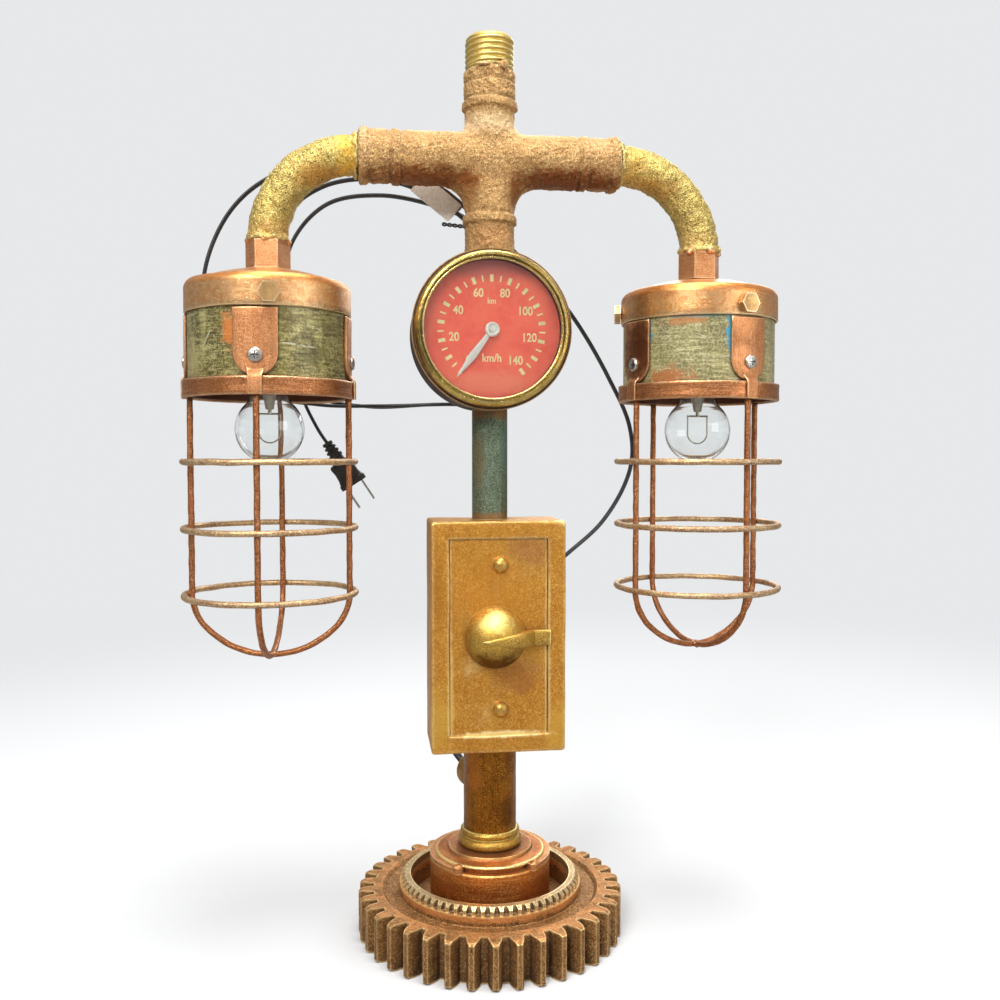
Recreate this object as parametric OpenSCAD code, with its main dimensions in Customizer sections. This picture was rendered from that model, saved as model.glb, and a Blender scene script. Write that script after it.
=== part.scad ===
// Table lamp built from pipe fittings: a gear wheel stands as the base, a switch box and a round gauge sit on
// the post, and a pipe cross carries two elbows that end in caged lamp heads.
// Millimetres, +Z up, -Y to the front. The origin is on the table, under the middle of the gear.

/* [Base gear] */
// Tip diameter of the gear wheel
gear_d = 180; // [160:1:200]
// Number of teeth of the gear wheel
gear_teeth = 38; // [30:1:44]
// Height of the gear rim above the table
gear_h = 29.5; // [24:0.5:36]
// Width of the flat ring on top of the rim, teeth included
rim_w = 16; // [14:0.5:19]
// Depth of the shallow recess inside the rim
rim_recess = 2.5; // [1:0.5:4]
// Outer diameter of the raised collar
collar_d = 124; // [120:1:130]
// Width of the raised collar
collar_w = 7.5; // [6:0.5:10]
// Rise of the collar above the rim
collar_rise = 3.5; // [2:0.5:6]
// Height of the web floor inside the collar
floor_z = 19; // [16:0.5:22]
// Thickness of the web
web_t = 11; // [8:0.5:13]
// Width of the ring that stands on the table
foot_w = 28; // [20:1:40]
// Bevel on the ends of the teeth
tooth_bevel = 1.2; // [0.5:0.1:2]

/* [Tooth ring] */
// Number of fine teeth on the ring
ring_teeth = 64; // [48:1:80]
// Height of the fine tooth ring
ring_h = 5.5; // [4:0.5:8]
// Depth of a fine tooth
ring_tooth = 3; // [2:0.2:3.6]

/* [Hub] */
// Diameter of the hub
hub_d = 82; // [70:1:90]
// Height of the hub's wide part above the web floor
hub_wall_h = 31.4; // [26:0.5:38]
// Width of the snap ring groove
groove_w = 3; // [2:0.2:4]
// Diameter at the bottom of the groove
groove_d = 71.6; // [68:0.2:72]
// Diameter of the lip above the groove
lip_d = 75; // [73:0.5:76]
// Height of the lip
lip_h = 1.3; // [1:0.1:2]
// Diameter of the raised seat for the post
seat_d = 57; // [50:1:60]
// Height of the seat above the lip
seat_h = 2.8; // [1.5:0.1:4]
// Opening angle of the snap ring
snap_gap = 72; // [50:1:90]
// Outer diameter of the snap ring
snap_d = 82.6; // [80:0.2:84]
// Diameter of the lugs at the ends of the snap ring
lug_d = 6; // [4:0.5:7]

/* [Lower post] */
// Outer diameter of the lower post
post_d = 36; // [30:0.5:40]
// Wall of the lower post
post_wall = 3; // [2:0.5:5]
// Length of the lower post
post_len = 69.5; // [60:0.5:90]
// Diameter of the lower bead of the post foot
foot_d = 43.7; // [42:0.1:50]
// Height of the post foot
foot_h = 12.2; // [10:0.2:16]

/* [Tie rod] */
// Diameter of the hollow threaded rod through the base
rod_d = 9.6; // [8:0.2:12]
// Bore of the hollow rod
rod_bore = 6.6; // [4:0.2:7]
// Width across flats of the nuts on the rod
rod_nut_af = 17; // [15:0.5:19]
// Height of the nuts on the rod
rod_nut_h = 5; // [4:0.5:6]

/* [Cord outlet] */
// Diameter of the cord outlet boss
boss_d = 24; // [20:0.5:27]
// Distance from the post axis to the face of the boss
boss_reach = 30; // [28:0.5:36]
// Height of the boss above the foot of the post
boss_z = 42.5; // [34:0.5:50]
// Turn of the boss from straight back, towards the left
boss_turn = 18; // [0:1:30]
// Bore through the cord bush
bush_bore = 6; // [5.4:0.1:7]

/* [Switch box] */
// Width of the switch box
box_w = 89.5; // [86:0.5:100]
// Height of the switch box
box_h = 154; // [148:1:170]
// Depth of the switch box
box_depth = 50; // [46:0.5:60]
// Wall of the switch box
box_wall = 3; // [2:0.2:4]
// Width of the border around the front panel
border_w = 12; // [10:0.5:14]
// Step from the border down to the panel
panel_recess = 2; // [1:0.2:2.4]
// Thickness of the front panel
panel_t = 2.5; // [1.6:0.1:3]
// Width of the ledge behind the panel
ledge_w = 4; // [3:0.5:6]
// Thickness of the ledge behind the panel
ledge_t = 3; // [2:0.5:4]
// Sideways offset of the box from the post axis
box_shift = 3.2; // [0:0.2:6]
// Distance between the two panel screws
screw_pitch = 96; // [90:1:110]
// Sideways place of the panel screws
screw_x = 4.4; // [0:0.2:8]
// Head diameter of the panel screws
screw_head_d = 11.3; // [9:0.1:12]
// Head height of the panel screws
screw_head_h = 4.6; // [3:0.1:5.5]
// Shank diameter of the panel screws
screw_shank_d = 4; // [3:0.5:5]

/* [Switch] */
// Sideways place of the switch axis
knob_x = 0.8; // [0:0.2:4]
// Diameter of the knob
knob_d = 41.6; // [36:0.2:44]
// Height of the knob
knob_h = 19; // [15:0.5:20]
// Reach of the lever from the switch axis
lever_reach = 36.4; // [32:0.2:38]
// Width of the lever
lever_w = 11; // [8:0.5:13]
// Thickness of the lever's tongue
lever_t = 3.4; // [2:0.2:4]
// Diameter of the switch spindle
spindle_d = 6; // [5:0.1:7]
// Diameter of the switch body
switch_d = 32; // [28:1:40]
// Depth of the switch body
switch_depth = 22; // [18:1:30]

/* [Riser] */
// Outer diameter of the riser between box and gauge
riser_d = 24; // [20:0.5:28]
// Wall of the riser
riser_wall = 3; // [2:0.5:4]
// Length of the riser from the box to the gauge case
riser_len = 73.4; // [60:0.2:90]

/* [Gauge] */
// Outer diameter of the gauge case
case_d = 103.2; // [100:0.2:112]
// Wall of the gauge case
case_wall = 1.6; // [1:0.1:2.4]
// Depth of the gauge case
case_depth = 44; // [40:1:54]
// How far the back of the case lies behind the post axis
case_back = 17; // [16.8:0.1:20]
// Sideways offset of the gauge from the post axis
gauge_shift = -1.5; // [-3:0.1:3]
// Diameter of the view opening in the bezel
view_d = 89.4; // [84:0.2:92]
// How far the bezel stands in front of the case
bezel_rise = 6; // [4:0.5:8]
// Thickness of the gauge glass
gauge_glass_t = 2; // [1.5:0.1:2.4]
// Thickness of the dial
dial_t = 1; // [0.6:0.1:1.5]
// Distance from the glass to the dial
dial_depth = 5.5; // [5:0.1:7]
// Length of the needle from its axis
needle_len = 38.3; // [30:0.1:40]
// Width of the needle at its widest place
needle_w = 5.2; // [3:0.2:6]
// Diameter of the needle's hub
needle_hub_d = 13.2; // [10:0.2:15]
// Diameter of the needle spindle
needle_pin_d = 2; // [1.6:0.1:3]
// Rest angle of the needle from straight up, clockwise positive
needle_rest = -143.4; // [-150:0.1:-130]
// Diameter of the gauge movement
movement_d = 40; // [30:1:60]

/* [Cross fitting] */
// Diameter of the cross fitting's side arms
arm_d = 34.5; // [32:0.5:38]
// Reach of each side arm from the post axis
arm_reach = 87; // [80:0.5:100]
// Diameter of the upright neck
neck_d = 33; // [30:0.5:33.4]
// Length of the neck from the gauge case to the arm axis
neck_low = 63.9; // [56:0.1:75]
// Length of the neck above the arm axis
neck_high = 57.5; // [48:0.5:65]
// Bore of the fitting
cross_bore = 25; // [20:0.5:26]
// Rise of the cast rings
cast_ring = 1; // [0.5:0.1:1.6]
// Fillet under the arms
fillet_low = 18; // [12:1:22]
// Fillet above the arms
fillet_high = 6; // [4:0.5:10]

/* [Top stub] */
// Thread diameter of the top stub
stub_d = 32.6; // [29:0.2:33]
// Height of the top stub
stub_h = 23; // [16:0.5:32]
// Distance between its thread grooves
stub_pitch = 3.6; // [3:0.1:4]

/* [Elbows] */
// Outer diameter of the elbow pipes
pipe_d = 26; // [22:0.5:28]
// Wall of the elbow pipes
pipe_wall = 3; // [2:0.5:4]
// Bend radius of the elbows
bend_r = 57; // [48:0.5:70]
// Length of the elbow inside the cross fitting
elbow_in = 10; // [6:0.5:14]
// Thickness of the weld bead
bead_d = 4.4; // [3:0.2:5]
// Width across flats of the head nipple
nipple_af = 25; // [22:0.5:27]
// Height of the head nipple
nipple_h = 18.5; // [14:0.5:24]

/* [Lamp heads] */
// Outer diameter of the cap
cap_d = 107; // [104.5:0.5:112]
// Height of the cap at its middle
cap_h = 30; // [26:0.5:36]
// Height of the cap's straight skirt
cap_skirt = 15; // [13:0.5:17]
// Radius of the cap's shoulder
cap_round = 6; // [4:0.5:8]
// Wall of the cap
cap_wall = 1.5; // [1:0.1:1.6]
// Outer diameter of the barrel
barrel_d = 103; // [98:0.5:103.2]
// Wall of the barrel
barrel_wall = 1.5; // [1:0.1:2]
// Height of the barrel that shows below the cap
barrel_h = 53; // [44:1:64]
// Length of the barrel inside the cap
barrel_in = 14; // [11:0.5:15]
// Outer diameter of the band
band_d = 110; // [108:0.5:112]
// Height of the band
band_h = 11.5; // [9:0.5:14]
// Width of a cage tab
tab_w = 27.5; // [22:0.5:32]
// Thickness of a cage tab
tab_t = 2; // [1.4:0.1:2.4]
// Width of the tab's neck over the band
tab_neck_w = 8.5; // [6:0.5:10]
// Number of cage tabs and bars
tab_count = 4; // [4:2:6]
// Turn of the left head's tabs from straight front
tab_turn_left = -3.7; // [-10:0.1:10]
// Turn of the right head's tabs from straight front
tab_turn_right = 19.8; // [10:0.1:28]
// Turn of the left cap's bolts from straight front
bolt_turn_left = 5.3; // [-10:0.1:10]
// Turn of the right cap's bolts from straight front
bolt_turn_right = 16.8; // [10:0.1:28]
// Width across flats of the cap bolts
bolt_af = 12; // [10:0.5:13]
// Diameter of the tab screw heads
tab_screw_d = 9; // [7:0.5:10]

/* [Cage] */
// Thickness of the cage wire
wire_d = 4; // [3:0.2:4.6]
// Radius of the circle of upright bars
bar_r = 51.6; // [50.5:0.1:52]
// Drop from the band to the first ring
first_ring = 41; // [34:0.5:50]
// Distance between the rings
ring_pitch = 43.5; // [36:0.5:50]
// Number of rings
ring_count = 3; // [2:1:4]
// Depth of the rounded end under the last ring
cage_end = 41; // [36:0.5:50]
// Smaller arc radius of the rounded end
cage_arc_r = 33; // [28:0.5:35]

/* [Bulb and socket] */
// Diameter of the bulb globe
bulb_d = 45; // [40:0.5:50]
// Length from the middle of the globe to the top of the screw cap
bulb_rise = 59; // [56:0.5:66]
// Diameter of the screw cap
screw_cap_d = 26.4; // [26:0.1:26.6]
// Length of the screw cap
screw_cap_h = 25; // [20:0.5:28]
// Wall of the bulb glass
bulb_wall = 0.8; // [0.6:0.1:1.2]
// Outer diameter of the ceramic socket
socket_d = 40; // [36:0.5:44]
// Height of the ceramic socket
socket_h = 45; // [40:0.5:50]

/* [Cord] */
// Thickness of the cord
cord_d = 4.6; // [4:0.2:5]
// Length of the plug sleeve
plug_sleeve = 17; // [12:0.5:22]
// Length of the plug body
plug_body_l = 16; // [12:0.5:20]
// Width of the plug body
plug_w = 21; // [18:0.5:26]
// Thickness of the plug body
plug_t = 13; // [11:0.5:16]
// Length of the plug blades
blade_len = 17; // [15:0.5:19]
// Distance between the plug blades
blade_pitch = 12.7; // [12:0.1:13]

/* [Fits] */
// Radial clearance of a turning spindle
running_fit = 0.06; // [0.02:0.01:0.1]
// Radial clearance of a fixed piece in its hole
slip_fit = 0.1; // [0.05:0.05:0.2]
// Gap between pieces that move past each other
move_gap = 0.4; // [0.3:0.1:0.6]

/* [Hidden] */
$fn = 96;

// Levels of the stack, from the table up
gear_r = gear_d / 2;
web_z = floor_z - web_t;
collar_top = gear_h + collar_rise;
groove_z = floor_z + hub_wall_h;
lip_top = groove_z + groove_w + lip_h;
post_z0 = lip_top + seat_h;
box_z0 = post_z0 + post_len;
box_z1 = box_z0 + box_h;
box_mid = box_z0 + box_h / 2;
gauge_z = box_z1 + riser_len + case_d / 2;
arm_z = gauge_z + case_d / 2 + neck_low;
neck_top = arm_z + neck_high;
rod_z0 = web_z - rod_nut_h - 0.6;
rod_z1 = box_z0 + box_wall + rod_nut_h + 3;

// Cord bush
bush_r = bush_bore / 2 + 2.4;

// Switch box
box_front = -box_depth / 2;
box_back = box_depth / 2;
panel_front = box_front + panel_recess;
panel_back = panel_front + panel_t;
panel_w = box_w - 2 * border_w;
panel_h = box_h - 2 * border_w + 2;
screw_levels = [box_mid - screw_pitch / 2, box_mid + screw_pitch / 2];
screw_len = 14;
post_boss_d = screw_shank_d + 6;
spigot_d = 16;
spigot_len = box_wall + rod_nut_h + 4;

// Knob and lever: the dome is a part of a ball
knob_base = panel_front - move_gap;
knob_front = knob_base - knob_h;
knob_ball = (pow(knob_d / 2, 2) + pow(knob_h, 2)) / (2 * knob_h);
knob_centre = knob_front + knob_ball;
lever_back = box_front - move_gap - 0.2;
bushing_d = spindle_d + 3.6;
bushing_front = panel_front - 3.4;
nut_t = 2.4;

// Gauge, measured along its axis, front negative
case_r = case_d / 2;
case_front = case_back - case_depth;
bezel_front = case_front - bezel_rise;
lip_t = 2.5;
glass_front = bezel_front + lip_t;
glass_back = glass_front + gauge_glass_t;
dial_front = glass_back + dial_depth;
dial_back = dial_front + dial_t;
shelf_t = 3;
glass_lap = 2.7;
bezel_spigot_wall = 2.4;
glass_r = view_d / 2 + glass_lap;
mouth_r = glass_r + bezel_spigot_wall + case_wall + 2 * slip_fit;
spigot_r = mouth_r - case_wall - slip_fit;
needle_plane = dial_front - 1.9;
needle_t = 0.7;
hub_back = dial_front - 1.2;
hub_t = dial_depth - 2.3;

// Cross fitting and elbows
arm_r = arm_d / 2;
neck_r = neck_d / 2;
pipe_r = pipe_d / 2;
elbow_tail = 1;
bend_start = arm_reach + 2;
head_x = bend_start + bend_r;
elbow_end = arm_z - bend_r - elbow_tail;
nipple_grip = elbow_tail + sqrt(bend_r * slip_fit);

// Lamp heads
cap_top = elbow_end - nipple_h;
cap_z0 = cap_top - cap_h;
barrel_z1 = cap_z0 + barrel_in;
barrel_z0 = cap_z0 - barrel_h;
band_z0 = barrel_z0 - 1;
band_z1 = band_z0 + band_h;
cap_r = cap_d / 2;
barrel_r = barrel_d / 2;
band_r = band_d / 2;
dome_r = (pow(cap_r, 2) + pow(cap_h - cap_skirt - 3, 2)) / (2 * (cap_h - cap_skirt - 3));
bolt_z = cap_z0 + 7.5;
bolt_r = 3;
bolt_head_h = 4.35;
bolt_nut_d = 10 / cos(30);
bolt_nut_r = sqrt(pow(barrel_r - barrel_wall, 2) - pow(bolt_nut_d / 2, 2)) - running_fit;
tab_shank_r = 2;
tab_r = barrel_r + 0.2;
tab_z1 = cap_z0 - 1;
tab_z0 = band_z1 + slip_fit;
tab_screw_z = band_z1 + 12.5;
spigot_hole_d = rod_d + 2 * slip_fit;

// Cage
wire_r = wire_d / 2;
ring_r = bar_r + wire_d;
last_ring_z = band_z0 - first_ring - (ring_count - 1) * ring_pitch;
arc_c = bar_r - cage_arc_r;
arc_d = (pow(arc_c, 2) - pow(cage_end - cage_arc_r, 2)) / (2 * (cage_end - cage_arc_r));
pole_arc_r = cage_end + arc_d;
arc_turn = atan2(arc_d, arc_c);
weld_gap = 0.6;
pole_turn = 2.4;
pole_weld_r = 3.5;

// Bulb and socket
bulb_top = cap_z0 - 14.5;
bulb_z = bulb_top - bulb_rise;
screw_cap_z0 = bulb_top - screw_cap_h;
neck_glass_r = screw_cap_d / 2 - 0.5;
contact_h = 2.4;
shell_r = screw_cap_d / 2 + 0.35;
shell_t = 0.3;
socket_z0 = screw_cap_z0 - 3;
socket_bore_r = shell_r + shell_t + slip_fit;
socket_neck_z = socket_z0 + socket_h;
socket_top = socket_neck_z + 14;

// Route of the cord from the outlet boss: up behind the box, a loop to the right, then two loops behind the left
// head that pass the tie three times, and down to the plug
cord_route = [
    [-6, 19, 100], [-10, 31, 100], [-15, 47, 101], [-20, 61, 108], [-21, 70, 123], [-15, 71, 146],
    [18, 60, 200], [56, 54, 243], [92, 56, 275], [113, 58, 312], [113, 58, 346], [96, 55, 382],
    [72, 46, 418], [46, 34, 446], [20, 24, 467], [-6, 21, 488], [-32, 26, 510], [-70, 36, 528],
    [-116, 52, 531], [-156, 61, 518], [-183, 64, 490], [-197, 64, 448], [-190, 64, 404], [-160, 63, 370],
    [-118, 62, 361], [-76, 57, 360], [-34, 49, 361], [6, 41, 363], [40, 34, 382], [50, 30, 416],
    [32, 25, 448], [10, 22, 466], [-10, 21, 483], [-36, 29, 504], [-72, 42, 518], [-112, 58, 516],
    [-141, 70, 494], [-151, 72, 446], [-146, 72, 402], [-122, 70, 369], [-82, 66, 360], [-42, 58, 361],
    [-2, 49, 364], [29, 43, 381], [38, 38, 414], [20, 33, 459], [-8, 28, 486], [-34, 38, 500],
    [-72, 54, 510], [-110, 68, 506], [-136, 79, 480], [-143, 81, 440], [-140, 81, 400], [-129, 79, 366],
    [-119, 76, 345], [-112, 75, 334]];
cord_rings = 80;
tie_at = [-8, 24, 486];
tie_turn = 40;
plug_at = [-112, 75, 334];
plug_lean = 33;
tail_turn = -130;
tag_at = [-29, 25.4, 507.5];
tag_turn = [0, 39.8, -10.9];
tag_size = [34, 0.8, 15];

// ---- shared shapes ----

// Cylinder along Y from y0 to y1
module y_cylinder(y0, y1, r, fn = $fn) {
    translate([0, y0, 0]) rotate([-90, 0, 0]) cylinder(h = y1 - y0, r = r, $fn = fn);
}

// Ring along Y from y0 to y1
module y_ring(y0, y1, r_out, r_in) {
    difference() {
        y_cylinder(y0, y1, r_out);
        y_cylinder(y0 - 1, y1 + 1, r_in);
    }
}

// Upright tube from z0 to z1
module tube(z0, z1, r_out, r_in) {
    translate([0, 0, z0]) difference() {
        cylinder(h = z1 - z0, r = r_out);
        translate([0, 0, -1]) cylinder(h = z1 - z0 + 2, r = r_in);
    }
}

// Hexagon nut with its across-flats width and a round bore, standing on z0
module hex_nut(z0, h, af, bore) {
    translate([0, 0, z0]) difference() {
        cylinder(h = h, d = af / cos(30), $fn = 6);
        translate([0, 0, -1]) cylinder(h = h + 2, d = bore);
    }
}

// Box from its low corner to its high corner
module block(low, high) {
    translate(low) cube(high - low);
}

// Turned profile about the Y axis, drawn as radius and y
module y_turned(points) {
    rotate([-90, 0, 0]) rotate_extrude() polygon(points);
}

// Both heads: the children stand at the left and at the right head axis
module both_heads() {
    for (side = [-1, 1]) translate([side * head_x, 0, 0]) children();
}

// Copies of the children around an upright axis, with 0 degrees at the front and positive towards +X
module around(count, turn) {
    for (i = [0 : count - 1]) rotate([0, 0, turn + i * 360 / count]) children();
}

// Points of an arc in the plane
function arc(cx, cy, r, a0, a1, n) =
    [for (i = [0 : n]) let(a = a0 + (a1 - a0) * i / n) [cx + r * cos(a), cy + r * sin(a)]];

// Half angle in degrees of an involute tooth at radius r
function involute(a) = tan(a) * 180 / PI - a;
function tooth_half(r, pitch_r, count) =
    90 / count + involute(20) - involute(acos(min(1, pitch_r * cos(20) / r)));

// Outline of an involute gear wheel
function gear_outline(count, tip_r) = let(
    m = 2 * tip_r / (count + 2),
    pitch_r = m * count / 2,
    root_r = pitch_r - 1.25 * m,
    base_r = pitch_r * cos(20),
    levels = [root_r, base_r + (tip_r - base_r) * 0.3, base_r + (tip_r - base_r) * 0.65, tip_r])
    [for (i = [0 : count - 1]) for (s = [-1, 1]) for (j = [0 : 3])
        let(r = levels[s < 0 ? j : 3 - j], a = i * 360 / count + s * tooth_half(r, pitch_r, count))
        [r * cos(a), r * sin(a)]];

// ---- base ----

module base_gear() {
    rim_in = gear_r - rim_w;
    recess_z = gear_h - rim_recess;
    collar_r = collar_d / 2;
    bevel_r = gear_r - tooth_bevel * 2;
    profile = [
        [rod_d / 2 + 2 * slip_fit, web_z], [gear_r - foot_w - 4, web_z], [gear_r - foot_w, 0], [bevel_r, 0],
        [gear_r, tooth_bevel], [gear_r, gear_h - tooth_bevel], [bevel_r, gear_h], [rim_in, gear_h],
        [rim_in - rim_recess, recess_z], [collar_r + 0.8, recess_z - 0.4], [collar_r, recess_z],
        [collar_r, collar_top], [collar_r - collar_w, collar_top], [collar_r - collar_w, floor_z],
        [rod_d / 2 + 2 * slip_fit, floor_z]];
    color([0.62, 0.42, 0.26]) intersection() {
        linear_extrude(gear_h + collar_rise + 1) polygon(gear_outline(gear_teeth, gear_r));
        rotate_extrude() polygon(profile);
    }
}

// The ring lies on the collar; its teeth point outwards and have bevelled tops
module tooth_ring() {
    r_out = collar_d / 2 - 1;
    r_in = collar_d / 2 - collar_w;
    step = 360 / ring_teeth;
    color([0.80, 0.72, 0.52]) intersection() {
        translate([0, 0, collar_top]) difference() {
            linear_extrude(ring_h) polygon([for (i = [0 : ring_teeth - 1]) for (k = [0 : 3])
                let(r = (k == 1 || k == 2) ? r_out : r_out - ring_tooth)
                let(a = (i + [-0.34, -0.17, 0.17, 0.34][k]) * step)
                [r * cos(a), r * sin(a)]]);
            translate([0, 0, -1]) cylinder(h = ring_h + 2, r = r_in);
        }
        rotate_extrude() polygon([
            [r_in - 1, collar_top], [r_out + 0.1, collar_top], [r_out + 0.1, collar_top + ring_h - 2.2],
            [r_out - 2.4, collar_top + ring_h], [r_in - 1, collar_top + ring_h]]);
    }
}

module bearing_hub() {
    r = hub_d / 2;
    color([0.58, 0.36, 0.20]) rotate_extrude() polygon([
        [rod_d / 2 + 2 * slip_fit, floor_z], [r, floor_z], [r, groove_z - 0.8], [r - 0.8, groove_z],
        [groove_d / 2, groove_z], [groove_d / 2, groove_z + groove_w], [lip_d / 2, groove_z + groove_w],
        [lip_d / 2, lip_top - 0.6], [lip_d / 2 - 0.6, lip_top], [seat_d / 2 + 1, lip_top + seat_h * 0.3],
        [seat_d / 2, post_z0], [rod_d / 2 + 2 * slip_fit, post_z0]]);
}

// Open ring in the hub's groove; the gap is at the front and each end has a round lug
module snap_ring() {
    r_in = groove_d / 2 + slip_fit;
    lug_r = lip_d / 2 + lug_d / 2 + 0.4;
    color([0.74, 0.50, 0.28]) union() {
        translate([0, 0, groove_z]) rotate([0, 0, -90 + snap_gap / 2]) rotate_extrude(angle = 360 - snap_gap)
            translate([r_in, 0]) square([snap_d / 2 - r_in, groove_w - slip_fit]);
        for (side = [-1, 1]) rotate([0, 0, side * (snap_gap / 2 + 1.3)]) translate([0, -lug_r, groove_z])
            cylinder(h = groove_w + lip_h, d = lug_d);
    }
}

// Two beads around the foot of the post
module post_foot() {
    bore = post_d / 2 + slip_fit;
    low_r = foot_h * 0.29;
    top_r = foot_h * 0.2;
    color([0.86, 0.72, 0.36]) translate([0, 0, post_z0]) rotate_extrude() difference() {
        union() {
            translate([foot_d / 2 - low_r, low_r]) circle(r = low_r);
            translate([foot_d / 2 - 1.6 - top_r, foot_h - top_r]) circle(r = top_r);
            translate([bore - 1, 0]) square([foot_d / 2 - low_r - bore + 1.4, foot_h]);
        }
        translate([bore - 10, -1]) square([10, foot_h + 2]);
    }
}

// Places the children on the axis of the cord outlet, which points away from the post along +X of the children
module at_boss() {
    translate([0, 0, post_z0 + boss_z]) rotate([0, 0, 90 + boss_turn]) children();
}

module lower_post() {
    color([0.55, 0.36, 0.14]) difference() {
        tube(post_z0, box_z0, post_d / 2, post_d / 2 - post_wall);
        at_boss() rotate([0, 90, 0]) cylinder(h = post_d, r = bush_r + 2 * slip_fit);
    }
}

module tie_rod() {
    color([0.55, 0.55, 0.52]) tube(rod_z0, rod_z1, rod_d / 2, rod_bore / 2);
}

module base_nut() {
    color([0.60, 0.60, 0.58]) hex_nut(web_z - rod_nut_h, rod_nut_h, rod_nut_af, rod_d + 2 * running_fit);
}

// Outlet boss on the back of the post, with a counterbore for the bush
module cord_boss() {
    color([0.80, 0.62, 0.26]) difference() {
        at_boss() difference() {
            rotate([0, 90, 0]) cylinder(h = boss_reach, d = boss_d);
            rotate([0, 90, 0]) translate([0, 0, -1]) cylinder(h = boss_reach + 2, r = bush_r + slip_fit);
            translate([boss_reach - 4, 0, 0]) rotate([0, 90, 0]) cylinder(h = 5, r = boss_d / 2 - 2.6);
        }
        translate([0, 0, post_z0]) cylinder(h = post_len, r = post_d / 2 + running_fit);
    }
}

module cord_bush() {
    wall_r = post_d / 2 - post_wall;
    color([0.10, 0.10, 0.10]) at_boss() difference() {
        union() {
            translate([wall_r, 0, 0]) rotate([0, 90, 0]) cylinder(h = boss_reach - 2 - wall_r, r = bush_r);
            translate([boss_reach - 4, 0, 0]) rotate([0, 90, 0]) cylinder(h = 2.4, r = boss_d / 2 - 3);
        }
        rotate([0, 90, 0]) cylinder(h = boss_reach + 2, d = bush_bore);
    }
}

// ---- switch box ----

// Cast box, open at the front inside its border; two posts on the back wall take the panel screws
module switch_box() {
    half_w = box_w / 2;
    inner_w = box_w - 2 * box_wall;
    color([0.74, 0.52, 0.22]) translate([box_shift, 0, 0]) difference() {
        union() {
            difference() {
                block([-half_w, box_front, box_z0], [half_w, box_back, box_z1]);
                block([-inner_w / 2, panel_back + ledge_t, box_z0 + box_wall],
                    [inner_w / 2, box_back - box_wall, box_z1 - box_wall]);
                block([-panel_w / 2 - slip_fit, box_front - 1, box_mid - panel_h / 2 - slip_fit],
                    [panel_w / 2 + slip_fit, panel_back, box_mid + panel_h / 2 + slip_fit]);
                block([-panel_w / 2 + ledge_w, panel_back - 1, box_mid - panel_h / 2 + ledge_w],
                    [panel_w / 2 - ledge_w, panel_back + ledge_t + 1, box_mid + panel_h / 2 - ledge_w]);
            }
            for (z = screw_levels) translate([screw_x - box_shift, 0, z])
                y_cylinder(panel_back, box_back - box_wall + 0.5, post_boss_d / 2);
        }
        for (z = screw_levels) translate([screw_x - box_shift, 0, z])
            y_cylinder(panel_back - 1, panel_back + screw_len, screw_shank_d / 2 + running_fit);
        translate([-box_shift, 0, box_z0 - 1]) cylinder(h = box_wall + 2, r = rod_d / 2 + slip_fit);
        translate([-box_shift, 0, box_z1 - box_wall - 1]) cylinder(h = box_wall + 2, r = spigot_d / 2 + slip_fit);
        translate([-box_shift + 3, 10.5, box_z0 - 1]) cylinder(h = box_wall + 2, d = 6);
    }
}

module front_panel() {
    color([0.76, 0.54, 0.22]) difference() {
        block([box_shift - panel_w / 2, panel_front, box_mid - panel_h / 2],
            [box_shift + panel_w / 2, panel_back, box_mid + panel_h / 2]);
        for (z = screw_levels) translate([screw_x, 0, z])
            y_cylinder(panel_front - 1, panel_back + 1, screw_shank_d / 2 + slip_fit);
        translate([knob_x, 0, box_mid]) y_cylinder(panel_front - 1, panel_back + 1, bushing_d / 2 + slip_fit);
    }
}

// Dome-head screws: the head is a part of a ball
module panel_screws() {
    ball = (pow(screw_head_d / 2, 2) + pow(screw_head_h, 2)) / (2 * screw_head_h);
    color([0.80, 0.66, 0.36]) for (z = screw_levels) translate([screw_x, panel_front, z]) {
        intersection() {
            translate([0, ball - screw_head_h, 0]) sphere(r = ball);
            y_cylinder(-screw_head_h, 0, screw_head_d / 2 + 1);
        }
        y_cylinder(-0.5, panel_t + screw_len - 2, screw_shank_d / 2);
    }
}

// Rotary switch behind the panel: body, threaded bushing and three solder lugs
module switch_body() {
    body_back = panel_back + switch_depth;
    color([0.16, 0.14, 0.12]) translate([knob_x, 0, box_mid]) difference() {
        union() {
            y_cylinder(panel_back, body_back, switch_d / 2);
            y_cylinder(bushing_front, panel_back + 1, bushing_d / 2);
            for (a = [0 : 120 : 240]) rotate([0, a, 0])
                block([-2, body_back - 1, switch_d / 2 - 5], [2, body_back + 7, switch_d / 2 - 4]);
        }
        y_cylinder(bushing_front - 1, body_back - 4, spindle_d / 2 + running_fit);
    }
}

module switch_nut() {
    color([0.72, 0.72, 0.70]) translate([knob_x, panel_front, box_mid]) rotate([90, 0, 0])
        hex_nut(0, nut_t, bushing_d + 4, bushing_d + 2 * running_fit);
}

module switch_spindle() {
    color([0.76, 0.76, 0.74]) translate([knob_x, 0, box_mid])
        y_cylinder(knob_front + 4, panel_back + switch_depth - 5, spindle_d / 2);
}

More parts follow.
